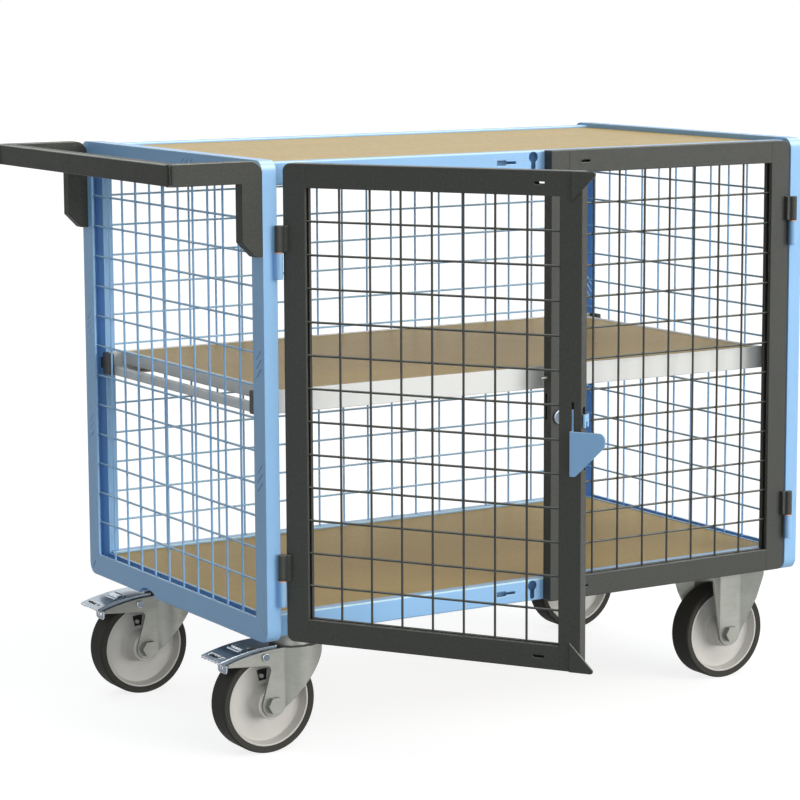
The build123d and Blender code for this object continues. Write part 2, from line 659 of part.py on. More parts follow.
def door_mesh(door):
    """Mesh of a door, uprights in front, with its wires let into the channels of stiles and rails."""
    middle = (door_stile_in + door_free_in) / 2
    course_start = door_edge_near + DOOR_WALL
    depth = door.front + DOOR_MESH_DEPTH
    uprights = [(middle + x, door.turn * depth)
                for x in wire_row(door_free_in - door_stile_in, MESH_MARGIN)]
    with BuildPart() as mesh:
        with BuildSketch(plan_plane(door, door_low + DOOR_WALL)):
            with Locations(*uprights):
                Circle(WIRE / 2)
        extrude(amount=door_top - door_low - 2 * DOOR_WALL)
        with BuildSketch(cross_plane(door, course_start)):
            with Locations(*[(z, -door.turn * (depth + wire_step)) for z in course_heights]):
                Circle(WIRE / 2)
        extrude(amount=door_free_in + DOOR_MESH_ENTRY - course_start)
    return mesh.part


def knuckle(door, z_low, foot_span, foot_depth, bore):
    """A hinge barrel of one knuckle's length, with a foot reaching to the face it is welded to."""
    with BuildPart() as barrel:
        with BuildSketch(plan_plane(door, z_low)):
            Circle(KNUCKLE_DIAMETER / 2)
            with Locations(((foot_span[0] + foot_span[1]) / 2, door.turn * foot_depth / 2)):
                Rectangle(foot_span[1] - foot_span[0], foot_depth)
            Circle(bore / 2, mode=Mode.SUBTRACT)
        extrude(amount=KNUCKLE_LENGTH)
    return barrel.part


def barrel_stack(door, diameter, z_low, length, bore=0.0):
    """A round piece on the hinge axis: a pin, or a washer with its bore."""
    with BuildPart() as stack:
        with BuildSketch(plan_plane(door, z_low)):
            Circle(diameter / 2)
            if bore:
                Circle(bore / 2, mode=Mode.SUBTRACT)
        extrude(amount=length)
    return stack.part


pin_bore = PIN_DIAMETER + 2 * RUNNING_CLEARANCE
door_closed = {left_door: Door("left_post", left_door.pin, Vector(1, 0, 0), Vector(0, 1, 0), 1, 0.0),
               right_door: Door("right_post", right_door.pin, Vector(-1, 0, 0), Vector(0, 1, 0), -1, 0.0)}
post_knuckles = []
hinge_pins = []
hinge_washers = []
for door, on_post in door_closed.items():
    door_knuckles = []
    for height_at in HINGE_HEIGHTS_AT:
        level = frame_low + height_at
        low = level - KNUCKLE_LENGTH
        post_knuckles.append(knuckle(on_post, low, (-KNUCKLE_DIAMETER / 2, 0), pin_front, pin_bore))
        hinge_pins.append(barrel_stack(on_post, PIN_DIAMETER, low, 2 * KNUCKLE_LENGTH))
        hinge_washers.append(barrel_stack(on_post, WASHER_DIAMETER, level, WASHER_THICK, pin_bore))
        door_knuckles.append(knuckle(door, level + WASHER_THICK + RUNNING_CLEARANCE,
                                     (DOOR_POST_GAP, KNUCKLE_LEAF), door.front, pin_bore))
    save(Compound(children=door_knuckles), f"{door.name}_knuckles")
    rail_spans = [(door_low, door_low + DOOR_RAIL), (door_top - DOOR_RAIL, door_top)]
    save(door_bar(door, (door_edge_near, door_stile_in), [(door_low, door_top)], False, True),
         f"{door.name}_hinge_stile")
    save(door_bar(door, (door_stile_in, door_free_in), rail_spans, True, False), f"{door.name}_rails")
    save(door_mesh(door), f"{door.name}_mesh")
save(Compound(children=post_knuckles), "post_knuckles")
save(Compound(children=hinge_pins), "hinge_pins")
save(Compound(children=hinge_washers), "hinge_washers")

# Free stiles: hollow, with the cut-outs that the latch and the lock work through
lock_z = frame_low + LOCK_HEIGHT_AT
strike_z = lock_z + STRIKE_ABOVE_LOCK
hook_low = strike_z - STRIKE_DIAMETER / 2 - HOOK_DROP
notch_top = strike_z + STRIKE_DIAMETER / 2 + HOOK_CLEARANCE
tongue_low = notch_top + HOOK_WEB
tongue_top = tongue_low + TONGUE_HEIGHT
latch_lift = STRIKE_DIAMETER + HOOK_DROP + LATCH_SPARE_LIFT
slit_x = door_edge_free - LATCH_SLIT_INSET
grip_low = lock_z - GRIP_BELOW_LOCK
grip_left = slit_x - LATCH_THICK / 2
blade_low = grip_low + GRIP_LOW_RADIUS
blade_top = tongue_top + BLADE_SPARE
lock_x = door_edge_free - LOCK_INSET
cam_reach = LOCK_INSET + DOOR_MEETING_GAP + DOOR_WALL + CAM_ENGAGE


def cam_slot_top(distance):
    """Height above the lock's axis that the turning cam's far corner reaches at a distance from it."""
    return sqrt(cam_reach ** 2 + (CAM_WIDTH / 2) ** 2 - distance ** 2)


def free_stile(door):
    """The stile at the meeting edge, with the latch's or the lock's openings in its face and edge."""
    has_latch = door.turn > 0
    cam_depth = CAM_DEPTH + CAM_THICK / 2 + (DOOR_LAP_CLEARANCE if has_latch else 0.0)
    cam_distance = LOCK_INSET + (DOOR_MEETING_GAP if has_latch else -DOOR_WALL)
    edge_slots = [(cam_depth, CAM_THICK + 2 * SLOT_CLEARANCE, lock_z - CAM_WIDTH / 2 - SLOT_CLEARANCE,
                   lock_z + cam_slot_top(cam_distance) + SLOT_CLEARANCE)]
    if has_latch:
        edge_slots.append((STRIKE_DEPTH, EDGE_SLOT_WIDTH, hook_low - SLOT_CLEARANCE,
                           tongue_top + latch_lift + SLOT_CLEARANCE))
    slit_high = blade_top + latch_lift + SLOT_CLEARANCE
    with BuildPart() as stile:
        add(door_bar(door, (door_free_in, door_edge_free), [(door_low, door_top)], False, False))
        with BuildSketch(face_plane(door, 0)):
            if has_latch:
                with Locations((slit_x, (blade_low + slit_high) / 2)):
                    Rectangle(LATCH_THICK + 2 * LATCH_SLIT_CLEARANCE, slit_high - blade_low)
            else:
                with Locations((lock_x, lock_z)):
                    Circle(LOCK_BODY_DIAMETER / 2 + RUNNING_CLEARANCE)
        extrude(amount=DOOR_WALL + CUT_SPARE, dir=door.inward, mode=Mode.SUBTRACT)
        with BuildSketch(cross_plane(door, door_edge_free)):
            for depth, wide, z_low, z_high in edge_slots:
                with Locations(((z_low + z_high) / 2, -door.turn * (door.front + depth))):
                    Rectangle(z_high - z_low, wide)
        extrude(amount=DOOR_WALL + CUT_SPARE, both=True, mode=Mode.SUBTRACT)
    return stile.part


save(free_stile(left_door), "left_door_free_stile")
save(free_stile(right_door), "right_door_free_stile")

with BuildPart() as stop_plates:
    with BuildSketch(face_plane(left_door, 0)):
        for corner_z, down in ((door_top, -1), (door_low, 1)):
            with BuildLine():
                Polyline((door_edge_free - STOP_INSET, corner_z),
                         (door_edge_free + STOP_OVERHANG, corner_z),
                         (door_edge_free - STOP_INSET, corner_z + down * STOP_HEIGHT), close=True)
            plate = make_face()
            fillet(plate.vertices().sort_by(Axis.X)[-1], STOP_TIP_RADIUS)
    extrude(amount=STOP_THICK, dir=left_door.inward * -1)
save(stop_plates.part, "left_door_stop_plates")

with BuildPart() as strike_pin:
    with BuildSketch(cross_plane(right_door, door_edge_free)):
        with Locations((strike_z, STRIKE_DEPTH - DOOR_LAP_CLEARANCE + right_door.front)):
            Circle(STRIKE_DIAMETER / 2)
    extrude(amount=DOOR_MEETING_GAP - STRIKE_TIP_GAP)
save(strike_pin.part, "right_door_strike_pin")

# Latch: one bent plate, with a grip outside, a blade in the slit, and a hook that drops over the strike
with BuildPart() as latch:
    with BuildSketch(face_plane(left_door, -GRIP_STANDOFF)):
        with BuildLine():
            Polyline((grip_left, grip_low), (grip_left + GRIP_FOOT, grip_low),
                     (grip_left + GRIP_WIDE, grip_low + GRIP_TALL - GRIP_TIP_TALL),
                     (grip_left + GRIP_WIDE, grip_low + GRIP_TALL),
                     (grip_left, grip_low + GRIP_TALL), close=True)
        grip = make_face()
        fillet(grip.vertices().group_by(Axis.X)[-1], GRIP_TIP_RADIUS)
        fillet(grip.vertices().group_by(Axis.Y)[0], GRIP_LOW_RADIUS)
    extrude(amount=LATCH_THICK, dir=left_door.inward * -1)
    for z_low, z_high, front in ((blade_low, grip_low + GRIP_TALL, -GRIP_STANDOFF - LATCH_THICK),
                                 (grip_low + GRIP_TALL, blade_top, LATCH_SLIT_CLEARANCE)):
        with BuildSketch(plan_plane(left_door, z_low)):
            with Locations((slit_x, left_door.front + (front + BLADE_REACH) / 2)):
                Rectangle(LATCH_THICK, BLADE_REACH - front)
        extrude(amount=z_high - z_low)
    hook_x = door_edge_free + HOOK_GAP
    with BuildSketch(face_plane(left_door, STRIKE_DEPTH - LATCH_THICK / 2)):
        with Locations(((slit_x + hook_x) / 2, (tongue_low + tongue_top) / 2)):
            Rectangle(hook_x - slit_x, TONGUE_HEIGHT)
    extrude(amount=LATCH_THICK, dir=left_door.inward)
    with BuildSketch(cross_plane(left_door, hook_x)):
        with Locations(((hook_low + tongue_top) / 2, -left_door.front - STRIKE_DEPTH)):
            Rectangle(tongue_top - hook_low, HOOK_WIDTH)
        with Locations(((hook_low + notch_top) / 2, -left_door.front - STRIKE_DEPTH)):
            Rectangle(notch_top - hook_low, STRIKE_DIAMETER + 2 * HOOK_CLEARANCE, mode=Mode.SUBTRACT)
    extrude(amount=LATCH_THICK)
save(latch.part, "latch")

# Lock: a cylinder in the right free stile, with a cam that turns out through the free edge
with BuildPart() as lock_cylinder:
    with BuildSketch(face_plane(right_door, -RUNNING_CLEARANCE)):
        with Locations((lock_x, lock_z)):
            Circle(LOCK_FACE_DIAMETER / 2)
    extrude(amount=LOCK_FACE_THICK, dir=right_door.inward * -1)
    face_rim = lock_cylinder.edges().filter_by(GeomType.CIRCLE).sort_by(Axis.Y)[0]
    chamfer(face_rim, LOCK_FACE_THICK / 3)
    with BuildSketch(face_plane(right_door, -RUNNING_CLEARANCE)):
        with Locations((lock_x, lock_z)):
            Circle(LOCK_BODY_DIAMETER / 2)
    extrude(amount=CAM_DEPTH + RUNNING_CLEARANCE, dir=right_door.inward)
    with BuildSketch(face_plane(right_door, CAM_DEPTH)):
        with Locations((lock_x, lock_z + (cam_reach - CAM_WIDTH / 2) / 2)):
            Rectangle(CAM_WIDTH, cam_reach + CAM_WIDTH / 2)
    extrude(amount=CAM_THICK, dir=right_door.inward)
    with BuildSketch(face_plane(right_door, -RUNNING_CLEARANCE - LOCK_FACE_THICK)):
        with Locations((lock_x, lock_z)):
            Rectangle(KEYWAY_WIDTH, KEYWAY_HEIGHT)
    extrude(amount=2 * LOCK_FACE_THICK, dir=right_door.inward, mode=Mode.SUBTRACT)
save(lock_cylinder.part, "lock_cylinder")

# Casters: a swivel fork's cheeks run into the round skirt of its crown, and a fixed fork's cheeks have
# wings bent outwards under the plate
Caster = namedtuple("Caster", "name x y")
swivel_casters = [Caster("front_left", -caster_x, -caster_y), Caster("rear_left", -caster_x, caster_y)]
fixed_casters = [Caster("front_right", caster_x, -caster_y), Caster("rear_right", caster_x, caster_y)]
cheek_out = FORK_INNER_WIDTH / 2 + FORK_SHEET
wing_low = crown_low - FORK_WING_DEPTH
pivot_x = -SWIVEL_TRAIL - PEDAL_PIVOT_SHIFT
pivot_z = crown_low - PEDAL_PIVOT_DROP
cup_top = crown_top + RACE_LOWER_HEIGHT
axle_hole = AXLE_DIAMETER / 2 + RUNNING_CLEARANCE
pivot_hole = PEDAL_PIVOT_DIAMETER / 2 + RUNNING_CLEARANCE
bolt_hole = BOLT_DIAMETER / 2 + RUNNING_CLEARANCE


def side_plane(caster, y_shift=0.0):
    """Upright plane along the trolley through a caster: x as the trolley's, y up."""
    return Plane((caster.x, caster.y + y_shift, 0), (1, 0, 0), (0, -1, 0))


def tangent_point(point, centre, radius, side):
    """Where a line from a point touches a circle, on one side of the line to its centre."""
    dx = point[0] - centre[0]
    dz = point[1] - centre[1]
    angle = atan2(dz, dx) + side * acos(radius / hypot(dx, dz))
    return (centre[0] + radius * cos(angle), centre[1] + radius * sin(angle))


def swivel_fork(caster):
    """Swivel fork: cheeks with a wing over the brake, a round crown with its skirt, and the lower race."""
    axle = (-SWIVEL_TRAIL, wheel_z)
    wing_tip = -FORK_WING_REACH
    leg_front = -SWIVEL_TRAIL + FORK_LEG_RADIUS
    window = (-SWIVEL_TRAIL - FORK_WINDOW_SHIFT, wing_low)
    nose_low = (CROWN_RADIUS, crown_low - CROWN_SKIRT)
    leg_left = tangent_point(window, axle, FORK_LEG_RADIUS, 1)
    leg_right = tangent_point(nose_low, axle, FORK_LEG_RADIUS, -1)
    crown_back = leg_front - FORK_SHEET
    tip_top = wing_low + FORK_WING_LIFT + FORK_WING_TIP
    with BuildPart() as fork:
        with BuildSketch(Plane((caster.x, caster.y, 0))) as plan:
            for skin, mode in ((0.0, Mode.ADD), (FORK_SHEET, Mode.SUBTRACT)):
                Rectangle(FORK_WING_REACH + skin, 2 * (cheek_out - skin), align=(Align.MAX, Align.CENTER),
                          mode=mode)
                Circle(CROWN_RADIUS - skin, mode=mode)
            for skin in (0.0, FORK_SHEET):
                for side_y in SIDES:
                    bend_y = cheek_out - skin
                    bend_x = -sqrt((CROWN_RADIUS - skin) ** 2 - bend_y ** 2)
                    bend = plan.vertices().sort_by_distance(Vector(bend_x, side_y * bend_y, 0))[0]
                    fillet(bend, FORK_BEND_RADIUS)
        extrude(amount=crown_top)
        with BuildSketch(side_plane(caster)):
            with BuildLine():
                Polyline((wing_tip, tip_top), (wing_tip, wing_low + FORK_WING_LIFT), window, leg_left)
                ThreePointArc(leg_left, (axle[0], axle[1] - FORK_LEG_RADIUS), leg_right)
                Polyline(leg_right, nose_low, (CROWN_RADIUS, crown_top), (leg_front, crown_top))
                TangentArc((leg_front, crown_top), (wing_tip, tip_top), tangent=(-1, 0))
            outline = make_face()
            corner = outline.vertices().sort_by_distance(Vector(window[0], window[1], 0))[0]
            fillet(corner, FORK_WINDOW_RADIUS)
        extrude(amount=CROWN_RADIUS + CUT_SPARE, both=True, mode=Mode.INTERSECT)
        with BuildSketch(Plane((caster.x, caster.y, crown_low))):
            Circle(CROWN_RADIUS)
            with Locations((crown_back, 0)):
                Rectangle(CROWN_RADIUS, 2 * CROWN_RADIUS, align=(Align.MAX, Align.CENTER),
                          mode=Mode.SUBTRACT)
                Rectangle(-crown_back, 2 * cheek_out, align=(Align.MIN, Align.CENTER))
        extrude(amount=FORK_SHEET)
        with BuildSketch(Plane((caster.x, caster.y, crown_top))):
            Circle(RACE_DIAMETER / 2)
        extrude(amount=RACE_LOWER_HEIGHT, taper=RACE_TAPER)
        with BuildSketch(Plane((caster.x, caster.y, crown_low))):
            Circle(KING_PIN_DIAMETER / 2 + RUNNING_CLEARANCE)
        extrude(amount=cup_top - crown_low, mode=Mode.SUBTRACT)
        with BuildSketch(side_plane(caster)):
            with Locations(axle):
                Circle(axle_hole)
            with Locations((pivot_x, pivot_z)):
                Circle(pivot_hole)
        extrude(amount=FORK_INNER_WIDTH, both=True, mode=Mode.SUBTRACT)
    return fork.part


def fixed_fork(caster):
    """Fixed fork: a bolted plate over two flat legs, each with two wings bent outwards."""
    axle = (0.0, wheel_z)
    turn = radians(FIXED_WING_ANGLE)
    wing_x = FIXED_LEG_RADIUS + FIXED_WING_LENGTH * cos(turn)
    wing_y = cheek_out + FIXED_WING_LENGTH * sin(turn)
    edge_x = wing_x + FORK_SHEET * sin(turn)
    edge_y = wing_y - FORK_SHEET * cos(turn)
    bend_x = FIXED_LEG_RADIUS + FORK_SHEET * tan(turn / 2)
    bend_y = cheek_out - FORK_SHEET
    right_half = [(FIXED_LEG_RADIUS, cheek_out), (wing_x, wing_y), (edge_x, edge_y), (bend_x, bend_y)]
    left_half = [(-x, y) for x, y in reversed(right_half)]
    shoulder_x = FIXED_LEG_RADIUS + (PLATE_WIDTH / 2 - cheek_out) / tan(turn)
    edge_high = plate_low - FIXED_EDGE_DROP
    taper_x = edge_x - FIXED_EDGE_TAPER
    taper_z = edge_high - FIXED_EDGE_HEIGHT
    leg_left = tangent_point((-taper_x, taper_z), axle, FIXED_LEG_RADIUS, 1)
    leg_right = tangent_point((taper_x, taper_z), axle, FIXED_LEG_RADIUS, -1)
    with BuildPart() as fork:
        with BuildSketch(Plane((caster.x, caster.y, 0))) as plan:
            for side_y in SIDES:
                with BuildLine():
                    Polyline(*[(x, side_y * y) for x, y in right_half + left_half], close=True)
                make_face()
            for x, y in ((FIXED_LEG_RADIUS, cheek_out), (bend_x, bend_y)):
                for side_x in SIDES:
                    for side_y in SIDES:
                        bend = plan.vertices().sort_by_distance(Vector(side_x * x, side_y * y, 0))[0]
                        fillet(bend, FORK_BEND_RADIUS)
        extrude(amount=plate_low)
        with BuildSketch(side_plane(caster)):
            with BuildLine():
                Polyline((-shoulder_x, plate_low), (-edge_x, edge_high), (-taper_x, taper_z), leg_left)
                ThreePointArc(leg_left, (axle[0], axle[1] - FIXED_LEG_RADIUS), leg_right)
                Polyline(leg_right, (taper_x, taper_z), (edge_x, edge_high), (shoulder_x, plate_low),
                         (-shoulder_x, plate_low))
            make_face()
        extrude(amount=PLATE_WIDTH, both=True, mode=Mode.INTERSECT)
        with BuildSketch(Plane((caster.x, caster.y, plate_low))):
            RectangleRounded(PLATE_LENGTH, PLATE_WIDTH, PLATE_CORNER_RADIUS)
            with GridLocations(BOLT_SPACING_X, BOLT_SPACING_Y, 2, 2):
                Circle(bolt_hole, mode=Mode.SUBTRACT)
        extrude(amount=PLATE_THICK)
        with BuildSketch(side_plane(caster)):
            with Locations(axle):
                Circle(axle_hole)
        extrude(amount=PLATE_WIDTH, both=True, mode=Mode.SUBTRACT)
    return fork.part


def swivel_plate(caster):
    """Bolted plate of a swivel caster with its upper race and the riveted king pin."""
    head_top = crown_low - RACE_GAP
    with BuildPart() as plate:
        with BuildSketch(Plane((caster.x, caster.y, plate_low))):
            RectangleRounded(PLATE_LENGTH, PLATE_WIDTH, PLATE_CORNER_RADIUS)
            with GridLocations(BOLT_SPACING_X, BOLT_SPACING_Y, 2, 2):
                Circle(bolt_hole, mode=Mode.SUBTRACT)
        extrude(amount=PLATE_THICK)
        for diameter, z_low, z_high in ((RACE_DIAMETER, cup_top + RACE_GAP, plate_low),
                                        (KING_PIN_DIAMETER, head_top, plate_low),
                                        (KING_PIN_HEAD, head_top - FORK_SHEET, head_top)):
            with BuildSketch(Plane((caster.x, caster.y, z_low))):
                Circle(diameter / 2)
            extrude(amount=z_high - z_low)
    return plate.part


def wheel_axle(caster, axle_x):
    """Axle bolt through the fork's legs, with a hex head and a hex nut."""
    with BuildPart() as axle:
        with BuildSketch(side_plane(caster, cheek_out)):
            with Locations((axle_x, wheel_z)):
                Circle(AXLE_DIAMETER / 2)
        extrude(amount=2 * cheek_out)
        for side_y in SIDES:
            with BuildSketch(side_plane(caster, side_y * cheek_out)):
                with Locations((axle_x, wheel_z)):
                    RegularPolygon(AXLE_HEAD_FLATS / 2, 6, major_radius=False)
            extrude(amount=-side_y * AXLE_HEAD_THICK)
    return axle.part


def wheel_ring(caster, axle_x, half_outline):
    """A wheel piece turned about its axle from half an outline of (radius, offset) points."""
    mirrored = [(radius, -across) for radius, across in reversed(half_outline)]
    with BuildPart() as ring:
        with BuildSketch(Plane((caster.x + axle_x, caster.y, wheel_z))):
            with BuildLine():
                Polyline(*half_outline, *mirrored, close=True)
            make_face()
        revolve(axis=Axis((caster.x + axle_x, caster.y, wheel_z), (0, 1, 0)))
    return ring.part


rim_radius = RIM_DIAMETER / 2
rim_outline = [(axle_hole, HUB_LENGTH / 2), (HUB_END_DIAMETER / 2, HUB_LENGTH / 2),
               (HUB_DIAMETER / 2, RIM_WEB / 2), (rim_radius - RIM_LIP - RIM_DISH, RIM_WEB / 2),
               (rim_radius - RIM_LIP, RIM_WIDTH / 2), (rim_radius, RIM_WIDTH / 2)]
tyre_outline = [(rim_radius, TYRE_WIDTH / 2 - TYRE_SHOULDER / 2), (wheel_z - TYRE_SHOULDER, TYRE_WIDTH / 2),
                (wheel_z, TYRE_WIDTH / 2 - TYRE_SHOULDER)]


def wheel_rim(caster, axle_x, pocket_angle):
    """A rim with a sunk pocket in the front of its web, where the hub's grease nipple stands."""
    turn = radians(pocket_angle)
    with BuildPart() as rim:
        add(wheel_ring(caster, axle_x, rim_outline))
        with BuildSketch(side_plane(caster, -RIM_WEB / 2)):
            with Locations((axle_x + POCKET_AT * cos(turn), wheel_z + POCKET_AT * sin(turn))):
                Rectangle(POCKET_LENGTH, POCKET_WIDTH, rotation=pocket_angle)
            nipple_at = POCKET_AT - NIPPLE_SHIFT
            with Locations((axle_x + nipple_at * cos(turn), wheel_z + nipple_at * sin(turn))):
                Circle(NIPPLE_DIAMETER / 2, mode=Mode.SUBTRACT)
        extrude(amount=-POCKET_DEPTH, mode=Mode.SUBTRACT)
    return rim.part


def brake_pedal(caster):
    """Arched foot pedal between the fork's cheeks, with pivot ears, a brake shoe, ribs and a stirrup.

    The shoe's face follows the tyre's circle as it lies when the pedal is pressed down.
    """
    half = FORK_INNER_WIDTH / 2 - PEDAL_SIDE_GAP
    back = -SWIVEL_TRAIL + PEDAL_BACK_SHIFT
    tip = -PEDAL_TIP_REACH
    top = crown_top + PEDAL_RISE
    tip_z = top - PEDAL_TIP_DROP
    arch_radius = ((back - tip) ** 2 + PEDAL_TIP_DROP ** 2) / (2 * PEDAL_TIP_DROP)
    rib_places = []
    for rib_at in PEDAL_RIBS_AT:
        rib_x = tip + rib_at
        rib_z = top - arch_radius + sqrt(arch_radius ** 2 - (back - rib_x) ** 2)
        rib_places.append((rib_x, rib_z + PEDAL_RIB_RISE - PEDAL_RIB_RADIUS))
    stirrup_x = tip + STIRRUP_INSET
    stirrup_z = top - arch_radius + sqrt(arch_radius ** 2 - (back - stirrup_x) ** 2) - PEDAL_SHEET / 2
    pressed = radians(PEDAL_ANGLE)
    to_wheel = (-SWIVEL_TRAIL - pivot_x, wheel_z - pivot_z)
    wheel_when_pressed = (pivot_x + to_wheel[0] * cos(pressed) + to_wheel[1] * sin(pressed),
                          pivot_z - to_wheel[0] * sin(pressed) + to_wheel[1] * cos(pressed))
    with BuildPart() as pedal:
        with BuildSketch(side_plane(caster, half)):
            with BuildLine():
                TangentArc((back, top), (tip, tip_z), tangent=(-1, 0))
                Line((tip, tip_z), (tip, tip_z - PEDAL_SHEET))
                TangentArc((back, top - PEDAL_SHEET), (tip, tip_z - PEDAL_SHEET), tangent=(-1, 0))
                Line((back, top - PEDAL_SHEET), (back, top))
            make_face()
        extrude(amount=2 * half)
        for side_y in SIDES:
            with BuildSketch(side_plane(caster, side_y * half)):
                with BuildLine():
                    TangentArc((back, top), (tip, tip_z), tangent=(-1, 0))
                    Polyline((tip, tip_z), (tip + PEDAL_FLANGE, tip_z - PEDAL_FLANGE),
                             (back, top - PEDAL_FLANGE), (back, top))
                make_face()
            extrude(amount=side_y * PEDAL_SHEET)
        with BuildSketch(Plane((caster.x, caster.y, top))):
            windows = PEDAL_WIDE_WINDOW + PEDAL_WINDOW_WEB + PEDAL_SMALL_WINDOW
            with Locations((tip + PEDAL_WINDOW_AT, (windows - PEDAL_WIDE_WINDOW) / 2)):
                Rectangle(PEDAL_WINDOW_LENGTH, PEDAL_WIDE_WINDOW)
            with Locations((tip + PEDAL_WINDOW_AT, (PEDAL_SMALL_WINDOW - windows) / 2)):
                Rectangle(PEDAL_WINDOW_LENGTH, PEDAL_SMALL_WINDOW)
            with Locations((tip, 0)):
                with GridLocations(1, 2 * half / PEDAL_TEETH, 1, PEDAL_TEETH + 1):
                    Rectangle(PEDAL_TOOTH, PEDAL_TOOTH, rotation=45)
        extrude(amount=-2 * PEDAL_TIP_DROP, mode=Mode.SUBTRACT)
        with BuildSketch(side_plane(caster, PEDAL_RIB_LENGTH / 2)):
            with Locations(*rib_places):
                Circle(PEDAL_RIB_RADIUS)
        extrude(amount=PEDAL_RIB_LENGTH)
        with BuildSketch(Plane((caster.x + stirrup_x, caster.y, stirrup_z), (0, 1, 0), (1, 0, 0))):
            stirrup = Rectangle(STIRRUP_WIDTH, STIRRUP_HEIGHT, align=(Align.CENTER, Align.MAX))
            fillet(stirrup.vertices().group_by(Axis.Y)[0], STIRRUP_RADIUS)
            with Locations((0, STIRRUP_FOOT - STIRRUP_HEIGHT)):
                Rectangle(STIRRUP_WINDOW_WIDTH, STIRRUP_WINDOW_HEIGHT, align=(Align.CENTER, Align.MIN),
                          mode=Mode.SUBTRACT)
        extrude(amount=PEDAL_SHEET)
        for side_y in SIDES:
            with BuildSketch(side_plane(caster, side_y * half)):
                with Locations((pivot_x, pivot_z)):
                    Circle(PEDAL_EAR_RADIUS)
                with BuildLine():
                    Polyline((pivot_x - PEDAL_EAR_RADIUS, pivot_z), (pivot_x + PEDAL_EAR_RADIUS, pivot_z),
                             (back, top - PEDAL_SHEET / 2),
                             (pivot_x - 2 * PEDAL_EAR_RADIUS, top - PEDAL_SHEET), close=True)
                make_face()
            extrude(amount=side_y * PEDAL_SHEET)
            with BuildSketch(side_plane(caster, side_y * half)):
                with Locations((pivot_x, pivot_z)):
                    Circle(PEDAL_PIVOT_DIAMETER / 2)
            extrude(amount=-side_y * (cheek_out + PEDAL_SIDE_GAP - half))
            with BuildSketch(side_plane(caster, side_y * (cheek_out + RACE_GAP))):
                with Locations((pivot_x, pivot_z)):
                    Circle(PEDAL_RIVET_HEAD / 2)
            extrude(amount=-side_y * PEDAL_SHEET)
        with BuildSketch(side_plane(caster, BRAKE_SHOE_WIDTH / 2)):
            with Locations((pivot_x - BRAKE_SHOE_SHIFT, pivot_z - BRAKE_SHOE_DROP)):
                Rectangle(BRAKE_SHOE_LENGTH, top - PEDAL_SHEET - pivot_z + BRAKE_SHOE_DROP,
                          align=(Align.CENTER, Align.MIN))
            with Locations(wheel_when_pressed):
                Circle(wheel_z + BRAKE_SHOE_CLEARANCE, mode=Mode.SUBTRACT)
        extrude(amount=BRAKE_SHOE_WIDTH)
    return pedal.part


for caster in swivel_casters:
    save(swivel_fork(caster), f"{caster.name}_fork")
    save(wheel_axle(caster, -SWIVEL_TRAIL), f"{caster.name}_axle")
    save(brake_pedal(caster), f"{caster.name}_pedal")
wheels = [(caster, -SWIVEL_TRAIL, POCKET_ANGLE) for caster in swivel_casters]
wheels += [(caster, 0.0, FIXED_POCKET_ANGLE) for caster in fixed_casters]
for caster, axle_x, pocket_angle in wheels:
    save(wheel_rim(caster, axle_x, pocket_angle), f"{caster.name}_rim")
    save(wheel_ring(caster, axle_x, tyre_outline), f"{caster.name}_tyre")
save(Compound(children=[swivel_plate(c) for c in swivel_casters]), "swivel_top_plates")
save(Compound(children=[fixed_fork(c) for c in fixed_casters]), "fixed_forks")
save(Compound(children=[wheel_axle(c, 0.0) for c in fixed_casters]), "fixed_axles")

with BuildPart() as caster_bolts:
    with BuildSketch(Plane.XY.offset(plate_low)):
        with Locations(*caster_places):
            with GridLocations(BOLT_SPACING_X, BOLT_SPACING_Y, 2, 2):
                RegularPolygon(BOLT_HEAD_FLATS / 2, 6, major_radius=False)
    extrude(amount=-BOLT_HEAD_THICK)
    with BuildSketch(Plane.XY.offset(plate_low)):
        with Locations(*caster_places):
            with GridLocations(BOLT_SPACING_X, BOLT_SPACING_Y, 2, 2):
                Circle(BOLT_DIAMETER / 2)
    extrude(amount=base_board_low - plate_low)
save(caster_bolts.part, "caster_bolts")
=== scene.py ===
import json
from math import cos, pi, radians, sin

import bpy
import numpy as np
from mathutils import Matrix, Vector


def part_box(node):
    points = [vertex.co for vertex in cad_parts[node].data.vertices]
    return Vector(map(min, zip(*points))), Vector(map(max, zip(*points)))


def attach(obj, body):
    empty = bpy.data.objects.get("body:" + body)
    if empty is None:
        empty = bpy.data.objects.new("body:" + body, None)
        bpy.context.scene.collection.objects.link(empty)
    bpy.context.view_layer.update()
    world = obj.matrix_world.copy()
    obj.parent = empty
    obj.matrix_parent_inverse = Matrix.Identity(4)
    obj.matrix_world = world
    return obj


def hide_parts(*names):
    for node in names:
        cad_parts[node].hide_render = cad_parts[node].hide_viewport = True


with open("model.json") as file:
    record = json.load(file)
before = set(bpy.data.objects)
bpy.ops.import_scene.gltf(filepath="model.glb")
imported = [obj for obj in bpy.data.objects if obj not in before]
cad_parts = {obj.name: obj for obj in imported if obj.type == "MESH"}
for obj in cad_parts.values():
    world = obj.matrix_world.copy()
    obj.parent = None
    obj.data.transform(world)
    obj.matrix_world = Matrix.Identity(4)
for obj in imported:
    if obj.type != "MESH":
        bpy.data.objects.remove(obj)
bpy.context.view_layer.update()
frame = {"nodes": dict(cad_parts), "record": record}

# Mesh cabinet trolley. Metres, +Z up, the doors face -Y and the push handle is at the -X end.

# Camera, found from the photograph's straight edges: angles in degrees, sensor in millimetres
CAMERA_PLACE = (-2.4854, -3.9425, 1.1925)
CAMERA_TURN = 31.351
CAMERA_DIP = 8.640
CAMERA_ROLL = 0.263
FOCAL_PIXELS = 2801.9
PICTURE_PIXELS = 800
SENSOR_WIDTH = 36.0

